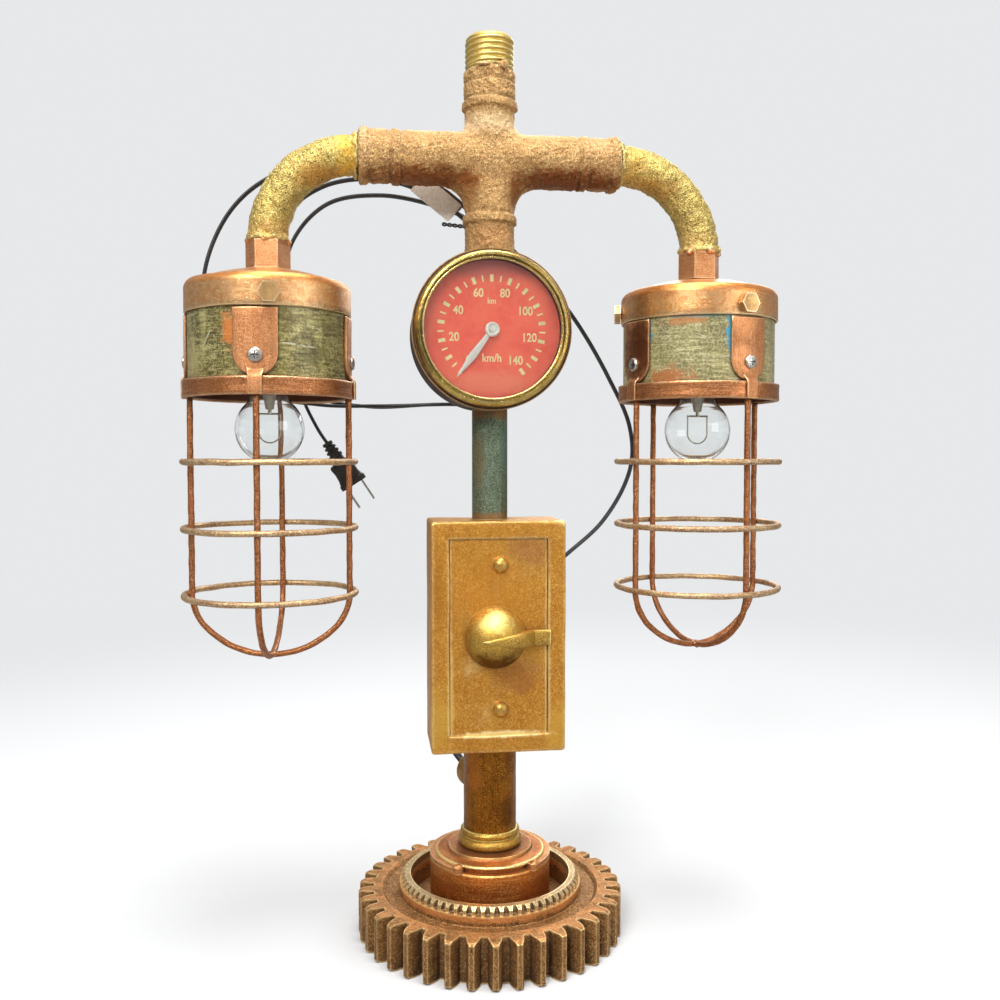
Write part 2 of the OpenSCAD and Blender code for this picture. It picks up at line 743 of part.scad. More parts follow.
// Domed knob with its lever: seen from the front the lever starts in a point and ends in a flat tongue
module switch_knob() {
    half = lever_w / 2;
    color([0.82, 0.68, 0.32]) translate([knob_x, 0, box_mid]) difference() {
        union() {
            intersection() {
                translate([0, knob_centre, 0]) sphere(r = knob_ball);
                y_cylinder(knob_front - 1, knob_base, knob_d / 2 + 1);
            }
            intersection() {
                linear_extrude(lever_w, center = true) polygon([
                    [-9, knob_centre], [-9, knob_front + 0.4], [4, knob_front - 1.2], [14, knob_front + 1.4],
                    [knob_d / 2, lever_back - lever_t - 4], [knob_d / 2 + 4, lever_back - lever_t],
                    [lever_reach, lever_back - lever_t], [lever_reach, lever_back], [4, lever_back]]);
                rotate([-90, 0, 0]) translate([0, 0, knob_front - 2]) linear_extrude(knob_h + 2) polygon([
                    [-9, -0.6], [2, -half * 0.75], [knob_d / 2 - 2, -half], [lever_reach, -half * 0.92],
                    [lever_reach, half * 0.92], [knob_d / 2 - 2, half], [2, half * 0.75], [-9, 0.6]]);
            }
        }
        y_cylinder(knob_front + 4 - slip_fit, knob_base + 1, spindle_d / 2 + slip_fit);
        y_cylinder(bushing_front - 1.2, knob_base + 1, (bushing_d + 4) / 2 / cos(30) + 0.8);
    }
}

// Locknuts inside the box, on the tie rod and on the riser's spigot
module box_locknuts() {
    color([0.66, 0.66, 0.64]) {
        hex_nut(box_z0 + box_wall, rod_nut_h, rod_nut_af, rod_d + 2 * running_fit);
        hex_nut(box_z1 - box_wall - rod_nut_h, rod_nut_h, spigot_d + 7, spigot_d + 2 * running_fit);
    }
}

// Riser with a threaded spigot through the top of the box; its upper end is cut to the round of the gauge case
module riser_post() {
    color([0.36, 0.50, 0.44]) difference() {
        union() {
            translate([0, 0, box_z1]) cylinder(h = riser_len + 4, r = riser_d / 2);
            translate([0, 0, box_z1 - spigot_len]) cylinder(h = spigot_len + 1, r = spigot_d / 2);
        }
        translate([0, 0, box_z1 - spigot_len - 1])
            cylinder(h = riser_len + spigot_len + 8, r = min(riser_d / 2 - riser_wall, spigot_d / 2 - 2));
        translate([gauge_shift, 0, gauge_z]) y_cylinder(-60, 60, case_r + running_fit);
    }
}

// ---- gauge ----

module at_gauge() {
    translate([gauge_shift, 0, gauge_z]) children();
}

// Cup with a bead at its front, a shelf for the dial and two holes for the wires
module gauge_case() {
    body_inner = case_r - case_wall;
    color([0.34, 0.22, 0.12]) difference() {
        at_gauge() difference() {
            union() {
                y_cylinder(case_front, dial_back + shelf_t, mouth_r);
                y_cylinder(dial_back, case_back, case_r);
                y_cylinder(case_front, case_front + 3, mouth_r + 0.9);
            }
            y_cylinder(case_front - 1, dial_back, mouth_r - case_wall);
            y_cylinder(dial_back + shelf_t, case_back - 2, body_inner);
            y_cylinder(dial_back - 1, dial_back + shelf_t + 1, min(glass_r - 1.5, body_inner));
        }
        translate([0, 0, gauge_z - case_r - 5]) cylinder(h = 12, r = spigot_d / 2 - 2);
        translate([0, 0, gauge_z + case_r - 7]) cylinder(h = 12, r = spigot_d / 2 - 2);
    }
}

// Rolled bezel with a spigot into the case
module gauge_bezel() {
    outer = mouth_r - 1.1;
    color([0.84, 0.72, 0.40]) at_gauge() y_turned(concat(
        [[view_d / 2, glass_front], [view_d / 2, bezel_front + 1.4]],
        arc(outer - 3, bezel_front + 3, 3, -110, 0, 6),
        [[outer, case_front], [spigot_r, case_front], [spigot_r, dial_front - 1],
            [glass_r + slip_fit, dial_front - 1], [glass_r + slip_fit, glass_front]]));
}

module gauge_spacer() {
    color([0.08, 0.08, 0.08]) at_gauge() y_ring(glass_back, dial_front, glass_r, view_d / 2 + 0.4);
}

module gauge_glass() {
    color([0.85, 0.92, 0.92, 0.3]) at_gauge() y_cylinder(glass_front, glass_back, glass_r);
}

module gauge_dial() {
    color([0.88, 0.30, 0.22]) at_gauge()
        y_ring(dial_front, dial_back, glass_r, needle_pin_d / 2 + 0.8);
}

// Pointer at its stop: narrow at the hub, widest past the middle and pointed at the tip
module gauge_needle() {
    half = needle_w / 2;
    wide = needle_len * 0.56;
    color([0.90, 0.90, 0.86]) at_gauge() {
        difference() {
            union() {
                rotate([0, needle_rest, 0]) translate([0, needle_plane, 0]) rotate([90, 0, 0])
                    linear_extrude(needle_t) polygon([
                        [-1.2, 0], [-half, wide], [-0.3, needle_len], [0.3, needle_len], [half, wide], [1.2, 0]]);
                y_cylinder(hub_back - hub_t, hub_back, needle_hub_d / 2);
            }
            y_cylinder(hub_back - hub_t + 1, hub_back + 1, needle_pin_d / 2 + running_fit);
        }
    }
}

module needle_spindle() {
    color([0.74, 0.74, 0.72]) at_gauge()
        y_cylinder(hub_back - hub_t + 1 + running_fit, dial_back + 14, needle_pin_d / 2);
}

module gauge_movement() {
    color([0.60, 0.60, 0.56]) at_gauge() difference() {
        y_cylinder(dial_back, case_back - 2, movement_d / 2);
        y_cylinder(dial_back - 1, dial_back + 16, needle_pin_d / 2 + running_fit);
    }
}

// ---- cross fitting, stub, elbows ----

// Web in the corners between neck and arms, with a round hollow of radius r; side is 1 above and -1 below
module corner_web(r, side) {
    translate([0, arm_r * 0.7, arm_z]) rotate([90, 0, 0]) linear_extrude(arm_r * 1.4) difference() {
        translate([-neck_r - r, side > 0 ? 0 : -arm_r - r]) square([2 * (neck_r + r), arm_r + r]);
        for (s = [-1, 1]) translate([s * (neck_r + r), side * (arm_r + r)]) circle(r = r);
    }
}

module neck_ring(z0, z1, rise) {
    translate([0, 0, z0]) cylinder(h = z1 - z0, r = neck_r + rise);
}

module arm_ring(x0, x1, rise) {
    for (side = [-1, 1]) translate([side * x0, 0, arm_z]) rotate([0, side * 90, 0])
        cylinder(h = x1 - x0, r = arm_r + rise);
}

// Sand-cast cross, hollow along both axes; the lower end of its neck is cut to the round of the gauge case
module cross_fitting() {
    neck_z0 = gauge_z + case_r - 6;
    color([0.76, 0.48, 0.32]) difference() {
        union() {
            translate([0, 0, neck_z0]) cylinder(h = neck_top - neck_z0, r = neck_r);
            translate([-arm_reach, 0, arm_z]) rotate([0, 90, 0]) cylinder(h = 2 * arm_reach, r = arm_r);
            corner_web(fillet_low, -1);
            corner_web(fillet_high, 1);
            neck_ring(arm_z - 45.5, arm_z - 37.5, cast_ring);
            neck_ring(arm_z + 29.5, arm_z + 37.1, cast_ring * 0.6);
            neck_ring(arm_z + 38, arm_z + 47.1, cast_ring);
            neck_ring(arm_z + 48.5, arm_z + 53.2, cast_ring * 0.6);
            arm_ring(arm_reach - 26, arm_reach - 21, cast_ring * 0.6);
            arm_ring(arm_reach - 5, arm_reach, cast_ring * 0.6);
        }
        translate([0, 0, neck_z0 - 1]) cylinder(h = neck_top - neck_z0 + 2, d = cross_bore);
        translate([-arm_reach - 1, 0, arm_z]) rotate([0, 90, 0]) cylinder(h = 2 * arm_reach + 2, d = cross_bore);
        for (side = [-1, 1]) translate([side * (arm_reach - elbow_in), 0, arm_z]) rotate([0, side * 90, 0])
            cylinder(h = elbow_in + 1, r = pipe_r + slip_fit);
        at_gauge() y_cylinder(-60, 60, case_r + running_fit);
    }
}

// Threaded plug: rings stand for the thread, and a plain spigot goes into the neck
module top_stub() {
    r = stub_d / 2;
    grooves = floor((stub_h - 6) / stub_pitch);
    color([0.88, 0.74, 0.42]) difference() {
        union() {
            translate([0, 0, neck_top]) rotate_extrude() polygon([
                [0, 0], [r - 1, 0], [r, 1], [r, stub_h - 3], [r - 0.8, stub_h - 1], [r - 3, stub_h], [0, stub_h]]);
            translate([0, 0, neck_top - 10]) cylinder(h = 11, r = cross_bore / 2 - slip_fit);
        }
        for (i = [0 : grooves - 1]) translate([0, 0, neck_top + 2.4 + i * stub_pitch]) rotate_extrude()
            polygon([[r - 1.1, 0.5], [r + 1, -0.9], [r + 1, 1.9]]);
        translate([0, 0, neck_top - 11]) cylinder(h = 16, r = cross_bore / 2 - 3);
    }
}

// Elbow pipe from the cross fitting to the head nipple, with a weld bead around the joint; side is -1 or 1
module elbow(side) {
    inner = pipe_r - pipe_wall;
    in_len = elbow_in + bend_start - arm_reach;
    color([0.72, 0.60, 0.30]) translate([side * bend_start, 0, arm_z]) rotate([0, 0, side > 0 ? 0 : 180]) {
        rotate([90, 0, 0]) translate([0, -bend_r, 0]) rotate_extrude(angle = 90) translate([bend_r, 0])
            difference() {
                circle(r = pipe_r);
                circle(r = inner);
            }
        translate([-in_len, 0, 0]) rotate([0, 90, 0]) difference() {
            cylinder(h = in_len, r = pipe_r);
            translate([0, 0, -1]) cylinder(h = in_len + 2, r = inner);
        }
        translate([bend_r, 0, -bend_r - elbow_tail]) difference() {
            cylinder(h = elbow_tail, r = pipe_r);
            translate([0, 0, -1]) cylinder(h = elbow_tail + 2, r = inner);
        }
        translate([arm_reach - bend_start + bead_d / 2, 0, 0]) rotate([0, 90, 0]) rotate_extrude()
            translate([pipe_r + bead_d / 4, 0]) intersection() {
                circle(d = bead_d);
                translate([-bead_d / 4, -bead_d]) square([bead_d, 2 * bead_d]);
            }
    }
}

module elbow_left() {
    elbow(-1);
}

module elbow_right() {
    elbow(1);
}

// Hexagon nipples: the upper spigot goes into the elbow and the thinner one through the cap into the socket
module head_nipples() {
    elbow_bore = pipe_r - pipe_wall;
    color([0.78, 0.50, 0.30]) both_heads() difference() {
        union() {
            translate([0, 0, cap_top]) cylinder(h = nipple_h, d = nipple_af / cos(30), $fn = 6);
            translate([0, 0, elbow_end - 1]) cylinder(h = nipple_grip + 1, r = elbow_bore - slip_fit);
            translate([0, 0, socket_neck_z + 1]) cylinder(h = cap_top - socket_neck_z, r = rod_d / 2);
        }
        translate([0, 0, socket_neck_z]) cylinder(h = elbow_end + nipple_grip + 1 - socket_neck_z, r = rod_bore / 2);
    }
}

// ---- lamp heads ----

// Outline of the cap, moved inwards by t: skirt, round shoulder and shallow dome
function cap_outline(t) = concat(
    [[0, cap_z0 - 1], [cap_r - t, cap_z0 - 1]],
    arc(cap_r - cap_round, cap_z0 + cap_skirt + 1, cap_round - t, 0, 62, 5),
    [for (i = [1 : 6]) let(x = (cap_r - cap_round) * (1 - i / 6))
        [x, cap_top - t - dome_r + sqrt(pow(dome_r, 2) - pow(x, 2))]]);

module cap(bolt_turn) {
    color([0.82, 0.50, 0.26]) difference() {
        rotate_extrude() polygon(cap_outline(0));
        rotate_extrude() polygon(cap_outline(cap_wall));
        translate([0, 0, cap_z0 - 2]) cylinder(h = 2, r = cap_r + 1);
        translate([0, 0, cap_top - 8]) cylinder(h = 10, d = spigot_hole_d);
        around(3, bolt_turn) translate([0, 0, bolt_z]) y_cylinder(-cap_r - 2, -cap_r / 2, bolt_r + slip_fit);
    }
}

module cap_left() {
    translate([-head_x, 0, 0]) cap(bolt_turn_left);
}

module cap_right() {
    translate([head_x, 0, 0]) cap(bolt_turn_right);
}

// Bolts through the cap and the barrel with nuts on the inside
module cap_bolts() {
    color([0.78, 0.64, 0.40]) for (side = [-1, 1]) translate([side * head_x, 0, bolt_z])
        around(3, side < 0 ? bolt_turn_left : bolt_turn_right) {
            translate([0, -cap_r - bolt_head_h, 0]) rotate([-90, 0, 0])
                cylinder(h = bolt_head_h - 0.05, d = bolt_af / cos(30), $fn = 6);
            y_cylinder(-cap_r - 1, -barrel_r + 8, bolt_r);
            translate([0, -bolt_nut_r, 0]) rotate([-90, 0, 0]) cylinder(h = 4, d = bolt_nut_d, $fn = 6);
        }
}

module barrel(bolt_turn, tab_turn) {
    color([0.52, 0.50, 0.30]) difference() {
        tube(barrel_z0, barrel_z1, barrel_r, barrel_r - barrel_wall);
        around(3, bolt_turn) translate([0, 0, bolt_z]) y_cylinder(-cap_r, -cap_r / 2, bolt_r + slip_fit);
        around(tab_count, tab_turn) translate([0, 0, tab_screw_z])
            y_cylinder(-cap_r, -cap_r / 2, tab_shank_r + slip_fit);
    }
}

module barrel_left() {
    translate([-head_x, 0, 0]) barrel(bolt_turn_left, tab_turn_left);
}

module barrel_right() {
    translate([head_x, 0, 0]) barrel(bolt_turn_right, tab_turn_right);
}

module cage_bands() {
    color([0.76, 0.42, 0.22]) both_heads() tube(band_z0, band_z1, band_r, barrel_r + slip_fit);
}

// Tab outline seen from outside: straight sides, half-round lower end
module tab_outline() {
    mid = tab_z0 + tab_w / 2;
    translate([0, mid]) circle(d = tab_w);
    translate([-tab_w / 2, mid]) square([tab_w, tab_z1 - mid]);
}

// Tab bent to the barrel, with a neck that runs down over the band
module tab() {
    neck_r0 = band_r + running_fit;
    difference() {
        union() {
            intersection() {
                tube(tab_z0, tab_z1, tab_r + tab_t, tab_r);
                translate([0, -barrel_r / 2, 0]) rotate([90, 0, 0]) linear_extrude(barrel_r) tab_outline();
            }
            intersection() {
                tube(band_z0, tab_z0 + 5, neck_r0 + 1.4, neck_r0);
                block([-tab_neck_w / 2, -band_r - 5, band_z0], [tab_neck_w / 2, 0, tab_z0 + 5]);
            }
            intersection() {
                tube(tab_z0, tab_z0 + 5, neck_r0 + 0.7, tab_r);
                block([-tab_neck_w / 2, -band_r - 5, tab_z0], [tab_neck_w / 2, 0, tab_z0 + 5]);
            }
        }
        translate([0, 0, tab_screw_z]) y_cylinder(-cap_r - 2, -cap_r / 2, tab_shank_r + slip_fit);
    }
}

module cage_tabs() {
    color([0.80, 0.48, 0.30]) for (side = [-1, 1]) translate([side * head_x, 0, 0])
        around(tab_count, side < 0 ? tab_turn_left : tab_turn_right) tab();
}

module tab_screws() {
    head_r = tab_screw_d / 2;
    face = tab_r + tab_t;
    color([0.86, 0.84, 0.80]) for (side = [-1, 1]) translate([side * head_x, 0, tab_screw_z])
        around(tab_count, side < 0 ? tab_turn_left : tab_turn_right) difference() {
            union() {
                translate([0, -face, 0]) rotate([90, 0, 0]) rotate_extrude() polygon([
                    [0, -0.5], [tab_shank_r, -0.5], [tab_shank_r, 0], [head_r, 0], [head_r, 1], [head_r - 0.8, 1.8],
                    [0, 2.4]]);
                y_cylinder(-face, -barrel_r + 6, tab_shank_r);
            }
            for (turn = [0, 90]) rotate([0, turn, 0])
                block([-2.6, -face - 3, -0.45], [2.6, -face - 0.9, 0.45]);
        }
}

// One upright bar of the cage with its part of the rounded end: two arcs, a small weld between them and the weld
// at the lowest point, where all the bars meet
module cage_bar() {
    half_gap = weld_gap / 2;
    translate([bar_r, 0, last_ring_z]) cylinder(h = band_z0 - last_ring_z, r = wire_r);
    translate([arc_c, 0, last_ring_z]) rotate([90, 0, 0]) {
        rotate([0, 0, half_gap - arc_turn]) rotate_extrude(angle = arc_turn - half_gap)
            translate([cage_arc_r, 0]) circle(r = wire_r);
        rotate([0, 0, -arc_turn]) translate([cage_arc_r, 0, 0]) sphere(r = wire_r + 0.08);
    }
    translate([0, 0, last_ring_z + arc_d]) rotate([90, 0, 0]) rotate([0, 0, pole_turn - 90])
        rotate_extrude(angle = 90 - arc_turn - half_gap - pole_turn) translate([pole_arc_r, 0]) circle(r = wire_r);
}

module cage_hoops(turn) {
    color([0.78, 0.48, 0.30]) {
        around(tab_count, turn - 90) cage_bar();
        translate([0, 0, last_ring_z - cage_end]) sphere(r = pole_weld_r);
    }
}

module cage_hoops_left() {
    translate([-head_x, 0, 0]) cage_hoops(tab_turn_left);
}

module cage_hoops_right() {
    translate([head_x, 0, 0]) cage_hoops(tab_turn_right);
}

module cage_rings() {
    color([0.80, 0.52, 0.34]) both_heads() for (i = [0 : ring_count - 1])
        translate([0, 0, band_z0 - first_ring - i * ring_pitch]) rotate_extrude()
            translate([ring_r, 0]) circle(r = wire_r);
}

// ---- sockets and bulbs ----

// Ceramic lampholders, hung on the nipple's lower spigot
module lamp_sockets() {
    r = socket_d / 2;
    color([0.90, 0.88, 0.82]) both_heads() rotate_extrude() polygon([
        [socket_bore_r, socket_z0], [r - 1, socket_z0], [r, socket_z0 + 1], [r, socket_neck_z - 4],
        [r * 0.62, socket_neck_z], [r * 0.62, socket_top], [spigot_hole_d / 2, socket_top],
        [spigot_hole_d / 2, socket_neck_z], [5, socket_neck_z - 3], [5, bulb_top + contact_h + 1],
        [socket_bore_r, bulb_top + contact_h + 1]]);
}

// Screw shell and centre tongue of each socket
module socket_contacts() {
    color([0.82, 0.66, 0.36]) both_heads() {
        tube(socket_z0 + 4, bulb_top + contact_h + 1, shell_r + shell_t, shell_r);
        translate([0, 0, bulb_top + contact_h + 0.3]) cylinder(h = socket_neck_z - 3 - bulb_top - contact_h, r = 4.8);
    }
}

module bulb_contact(side) {
    color([0.70, 0.70, 0.68]) translate([side * head_x, 0, bulb_top]) cylinder(h = contact_h, r1 = 4.8, r2 = 3.6);
}

module bulb_contact_left() {
    bulb_contact(-1);
}

module bulb_contact_right() {
    bulb_contact(1);
}

// Brass screw cap, a thin cup around the neck of the glass
module bulb_cap(side) {
    r = screw_cap_d / 2;
    color([0.80, 0.68, 0.40]) translate([side * head_x, 0, 0]) rotate_extrude() polygon([
        [r - 0.4, screw_cap_z0], [r, screw_cap_z0], [r, bulb_top - 4], [6, bulb_top], [0, bulb_top],
        [0, bulb_top - 1], [5.6, bulb_top - 1], [r - 0.4, bulb_top - 4.4]]);
}

module bulb_cap_left() {
    bulb_cap(-1);
}

module bulb_cap_right() {
    bulb_cap(1);
}

// Outline of the bulb glass, moved inwards by t: neck, round shoulder and globe
function glass_outline(t) = let(r = bulb_d / 2 - t, neck = neck_glass_r - t, meet = acos(neck / r)) concat(
    [[0, screw_cap_z0 + 6 - t], [neck, screw_cap_z0 + 6 - t], [neck, bulb_z + r * sin(meet) + 6],
        [neck + 0.8, bulb_z + r * sin(meet) + 1.6]],
    arc(0, bulb_z, r, meet - 6, -90, 14));

module bulb_glass(side) {
    color([0.90, 0.94, 0.92, 0.35]) translate([side * head_x, 0, 0]) difference() {
        rotate_extrude() polygon(glass_outline(0));
        rotate_extrude() polygon(glass_outline(bulb_wall));
    }
}

module bulb_glass_left() {
    bulb_glass(-1);
}

module bulb_glass_right() {
    bulb_glass(1);
}

// Glass stem with two lead wires and the filament between their ends
module filament(side) {
    stem_z0 = bulb_z + 13;
    stem_z1 = screw_cap_z0 + 6 - bulb_wall - 0.3;
    color([0.80, 0.70, 0.50]) translate([side * head_x, 0, 0]) {
        translate([0, 0, stem_z0]) cylinder(h = stem_z1 - stem_z0, r1 = 2.6, r2 = 8);
        for (s = [-1, 1]) translate([s * 7, 0, bulb_z - 2]) cylinder(h = 12, r = 0.5);
        translate([-7.4, 0, bulb_z + 10]) rotate([0, 90, 0]) cylinder(h = 14.8, r = 0.6);
        translate([0, 0, bulb_z + 9.4]) cylinder(h = 4.6, r = 1.2);
        translate([0, 0, bulb_z - 2]) rotate([-90, 0, 0]) rotate_extrude(angle = 180) translate([7, 0])
            circle(r = 0.5);
    }
}

module filament_left() {
    filament(-1);
}

module filament_right() {
    filament(1);
}

// ---- cord, tie, tag and plug ----

// Smooth curve from p1 to p2 that also looks at the points before and after them
function between(p0, p1, p2, p3, t) = 0.5 * (2 * p1 + (p2 - p0) * t + (2 * p0 - 5 * p1 + 4 * p2 - p3) * t * t
    + (3 * p1 - p0 - 3 * p2 + p3) * t * t * t);
function route_point(u) = let(
    last = len(cord_route) - 1,
    i = min(last - 1, floor(u)))
    between(cord_route[max(0, i - 1)], cord_route[i], cord_route[i + 1], cord_route[min(last, i + 2)], u - i);
function unit(v) = v / norm(v);

module cord() {
    rings = cord_rings - 1;
    sides = 8;
    centres = [for (k = [0 : rings]) route_point(k * (len(cord_route) - 1) / rings)];
    tangents = [for (k = [0 : rings]) unit(centres[min(rings, k + 1)] - centres[max(0, k - 1)])];
    points = [for (k = [0 : rings]) let(
        side = unit(cross(tangents[k], abs(tangents[k].y) > 0.9 ? [1, 0, 0] : [0, 1, 0])),
        up = cross(side, tangents[k]))
        for (s = [0 : sides - 1]) centres[k] + cord_d / 2 * (side * cos(s * 45) + up * sin(s * 45))];
    walls = [for (k = [0 : rings - 1]) for (s = [0 : sides - 1]) let(n = (s + 1) % sides)
        [k * sides + s, k * sides + n, (k + 1) * sides + n, (k + 1) * sides + s]];
    color([0.06, 0.06, 0.06]) polyhedron(points, concat(walls,
        [[for (s = [sides - 1 : -1 : 0]) s]], [[for (s = [0 : sides - 1]) rings * sides + s]]));
}

module at_tie() {
    translate(tie_at) rotate([0, tie_turn, 0]) children();
}

// Twist tie around the three strands, with its twisted ends pointing left
module cord_tie() {
    color([0.05, 0.05, 0.05]) at_tie() {
        difference() {
            block([-2, -7.2, -7.4], [2, 8, 7.4]);
            block([-3, -5.8, -6.6], [3, 7.2, 6.6]);
        }
        translate([0, -6, -6.9]) rotate([0, tail_turn, 0]) cylinder(h = 21, r = 1.1);
    }
}

// Blank folded tag: a short sleeve around the strand and a flat flag in front of the other strands
module cord_tag() {
    sleeve_r = cord_d / 2 + 0.2;
    flag_y = -sleeve_r - tag_size.y;
    color([0.92, 0.90, 0.86]) translate(tag_at) rotate(tag_turn) {
        translate([-4, 0, 0]) rotate([0, 90, 0]) difference() {
            cylinder(h = 8, r = sleeve_r + tag_size.y);
            translate([0, 0, -1]) cylinder(h = 10, r = sleeve_r);
        }
        translate([-tag_size.x / 2, flag_y, -tag_size.z]) cube(tag_size);
    }
}

// Places the children on the plug's axis: +Z of the children points out of the plug along its blades
module at_plug() {
    translate(plug_at) rotate([0, 180 - plug_lean, 0]) children();
}

module plug_body() {
    body_z = plug_sleeve;
    color([0.07, 0.06, 0.05]) at_plug() {
        translate([0, 0, 0.2]) cylinder(h = plug_sleeve, r1 = 4.4, r2 = 6);
        translate([0, 0, body_z]) linear_extrude(plug_body_l) square([plug_w - 3, plug_t], center = true);
        translate([0, 0, body_z + plug_body_l - 0.2]) linear_extrude(4) square([plug_w, plug_t + 2], center = true);
    }
}

module plug_blades() {
    z0 = plug_sleeve + plug_body_l + 3.8;
    color([0.78, 0.76, 0.70]) at_plug() for (s = [-1, 1]) translate([s * blade_pitch / 2, 0, z0]) difference() {
        translate([-0.75, -3.2, 0]) cube([1.5, 6.4, blade_len]);
        translate([-2, 0, blade_len - 4]) rotate([0, 90, 0]) cylinder(h = 4, r = 1.6);
    }
}

base_gear();
tooth_ring();
bearing_hub();
snap_ring();
post_foot();
lower_post();
tie_rod();
base_nut();
cord_boss();
cord_bush();
switch_box();
front_panel();
panel_screws();
switch_body();
switch_nut();
switch_spindle();
switch_knob();
box_locknuts();
riser_post();
gauge_case();
gauge_bezel();
gauge_spacer();
gauge_glass();
gauge_dial();
gauge_needle();
needle_spindle();
gauge_movement();
cross_fitting();
top_stub();
elbow_left();
elbow_right();
head_nipples();
cap_left();
cap_right();
cap_bolts();
barrel_left();
barrel_right();
cage_bands();
cage_tabs();
tab_screws();
cage_hoops_left();
cage_hoops_right();
cage_rings();
lamp_sockets();
socket_contacts();
bulb_contact_left();
bulb_contact_right();
bulb_cap_left();
bulb_cap_right();
bulb_glass_left();
bulb_glass_right();
filament_left();
filament_right();
cord();
cord_tie();
cord_tag();
plug_body();
plug_blades();
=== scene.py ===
import math

import bmesh
import bpy
import numpy as np
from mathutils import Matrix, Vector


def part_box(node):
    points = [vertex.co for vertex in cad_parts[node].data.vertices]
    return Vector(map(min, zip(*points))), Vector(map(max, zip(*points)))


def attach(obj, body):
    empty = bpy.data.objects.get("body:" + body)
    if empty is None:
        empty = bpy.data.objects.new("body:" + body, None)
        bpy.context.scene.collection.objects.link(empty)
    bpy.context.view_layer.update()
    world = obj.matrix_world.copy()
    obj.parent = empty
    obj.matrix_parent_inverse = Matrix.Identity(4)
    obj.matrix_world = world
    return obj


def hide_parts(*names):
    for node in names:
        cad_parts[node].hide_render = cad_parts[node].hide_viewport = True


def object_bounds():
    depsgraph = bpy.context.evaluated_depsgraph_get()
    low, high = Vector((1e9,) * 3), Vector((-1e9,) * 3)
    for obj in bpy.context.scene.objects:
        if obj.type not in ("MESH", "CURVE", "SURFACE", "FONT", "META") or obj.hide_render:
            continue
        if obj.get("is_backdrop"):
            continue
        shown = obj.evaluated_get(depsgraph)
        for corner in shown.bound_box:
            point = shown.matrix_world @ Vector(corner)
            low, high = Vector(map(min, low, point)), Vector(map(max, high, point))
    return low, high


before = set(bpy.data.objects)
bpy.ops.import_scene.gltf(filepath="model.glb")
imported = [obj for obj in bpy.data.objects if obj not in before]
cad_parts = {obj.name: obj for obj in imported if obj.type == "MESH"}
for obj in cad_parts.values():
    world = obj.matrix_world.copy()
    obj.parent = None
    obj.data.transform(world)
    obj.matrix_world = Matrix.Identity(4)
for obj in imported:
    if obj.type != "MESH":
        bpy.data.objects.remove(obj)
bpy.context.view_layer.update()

# ------------------------------
# Camera: it stands a little left of the lamp, about 0.7 m in front of it and level with the riser, and looks
# slightly down.
def link(name, data):
    """A new object with this data in the scene."""
    piece = bpy.data.objects.new(name, data)
    bpy.context.scene.collection.objects.link(piece)
    return piece


camera = link("camera", bpy.data.cameras.new("camera"))
bpy.context.scene.camera = camera
camera.location = (-0.0838, -0.6748, 0.3236)
camera.rotation_euler = (math.radians(87.5), 0, math.radians(-7.67))
camera.data.sensor_width = 36
camera.data.lens = 36
camera.data.clip_start = 0.01
bpy.context.scene.view_settings.view_transform = "Standard"


# ------------------------------
# Cord: black flat twin flex with a groove between its two wires, PVC, pulled out of the bush in the post's back.
# It climbs behind the box, makes two loops behind the left head and passes the twist tie three times.
route = np.array([
    [-6, 19, 100], [-10, 31, 100], [-15, 47, 101], [-20, 61, 108], [-21, 70, 123], [-15, 71, 146],
    [18, 60, 200], [56, 54, 243], [92, 56, 275], [113, 58, 312], [113, 58, 346], [96, 55, 382],
    [72, 46, 418], [46, 34, 446], [20, 24, 467], [-6, 21, 488], [-32, 26, 510], [-70, 36, 528],
    [-116, 52, 531], [-156, 61, 518], [-183, 64, 490], [-197, 64, 448], [-190, 64, 404], [-160, 63, 370],
    [-118, 62, 361], [-76, 57, 360], [-34, 49, 361], [6, 41, 363], [40, 34, 382], [50, 30, 416],
    [32, 25, 448], [10, 22, 466], [-10, 21, 483], [-36, 29, 504], [-72, 42, 518], [-112, 58, 516],
    [-141, 70, 494], [-151, 72, 446], [-146, 72, 402], [-122, 70, 369], [-82, 66, 360], [-42, 58, 361],
    [-2, 49, 364], [29, 43, 381], [38, 38, 414], [20, 33, 459], [-8, 28, 486], [-34, 38, 500],
    [-72, 54, 510], [-110, 68, 506], [-136, 79, 480], [-143, 81, 440], [-140, 81, 400], [-129, 79, 366],
    [-119, 76, 345], [-112, 75, 334]
]) / 1000
flex_width, flex_thickness, flex_groove = 0.0056, 0.0029, 0.36


def smooth_route(points, steps):
    """Uniform Catmull-Rom curve: each span is the cubic through its two points whose slopes are half the vectors
    between their neighbours. Gives steps samples for each span and the last point."""
    before = np.vstack([points[:1], points[:-2]])
    after = np.vstack([points[2:], points[-1:]])
    p0, p1, p2, p3 = (a[:, None, :] for a in (before, points[:-1], points[1:], after))
    t = (np.arange(steps) / steps)[None, :, None]
    curve = 0.5 * (2 * p1 + (p2 - p0) * t + (2 * p0 - 5 * p1 + 4 * p2 - p3) * t**2
                   + (3 * p1 - p0 - 3 * p2 + p3) * t**3)
    return np.vstack([curve.reshape(-1, 3), points[-1:]])


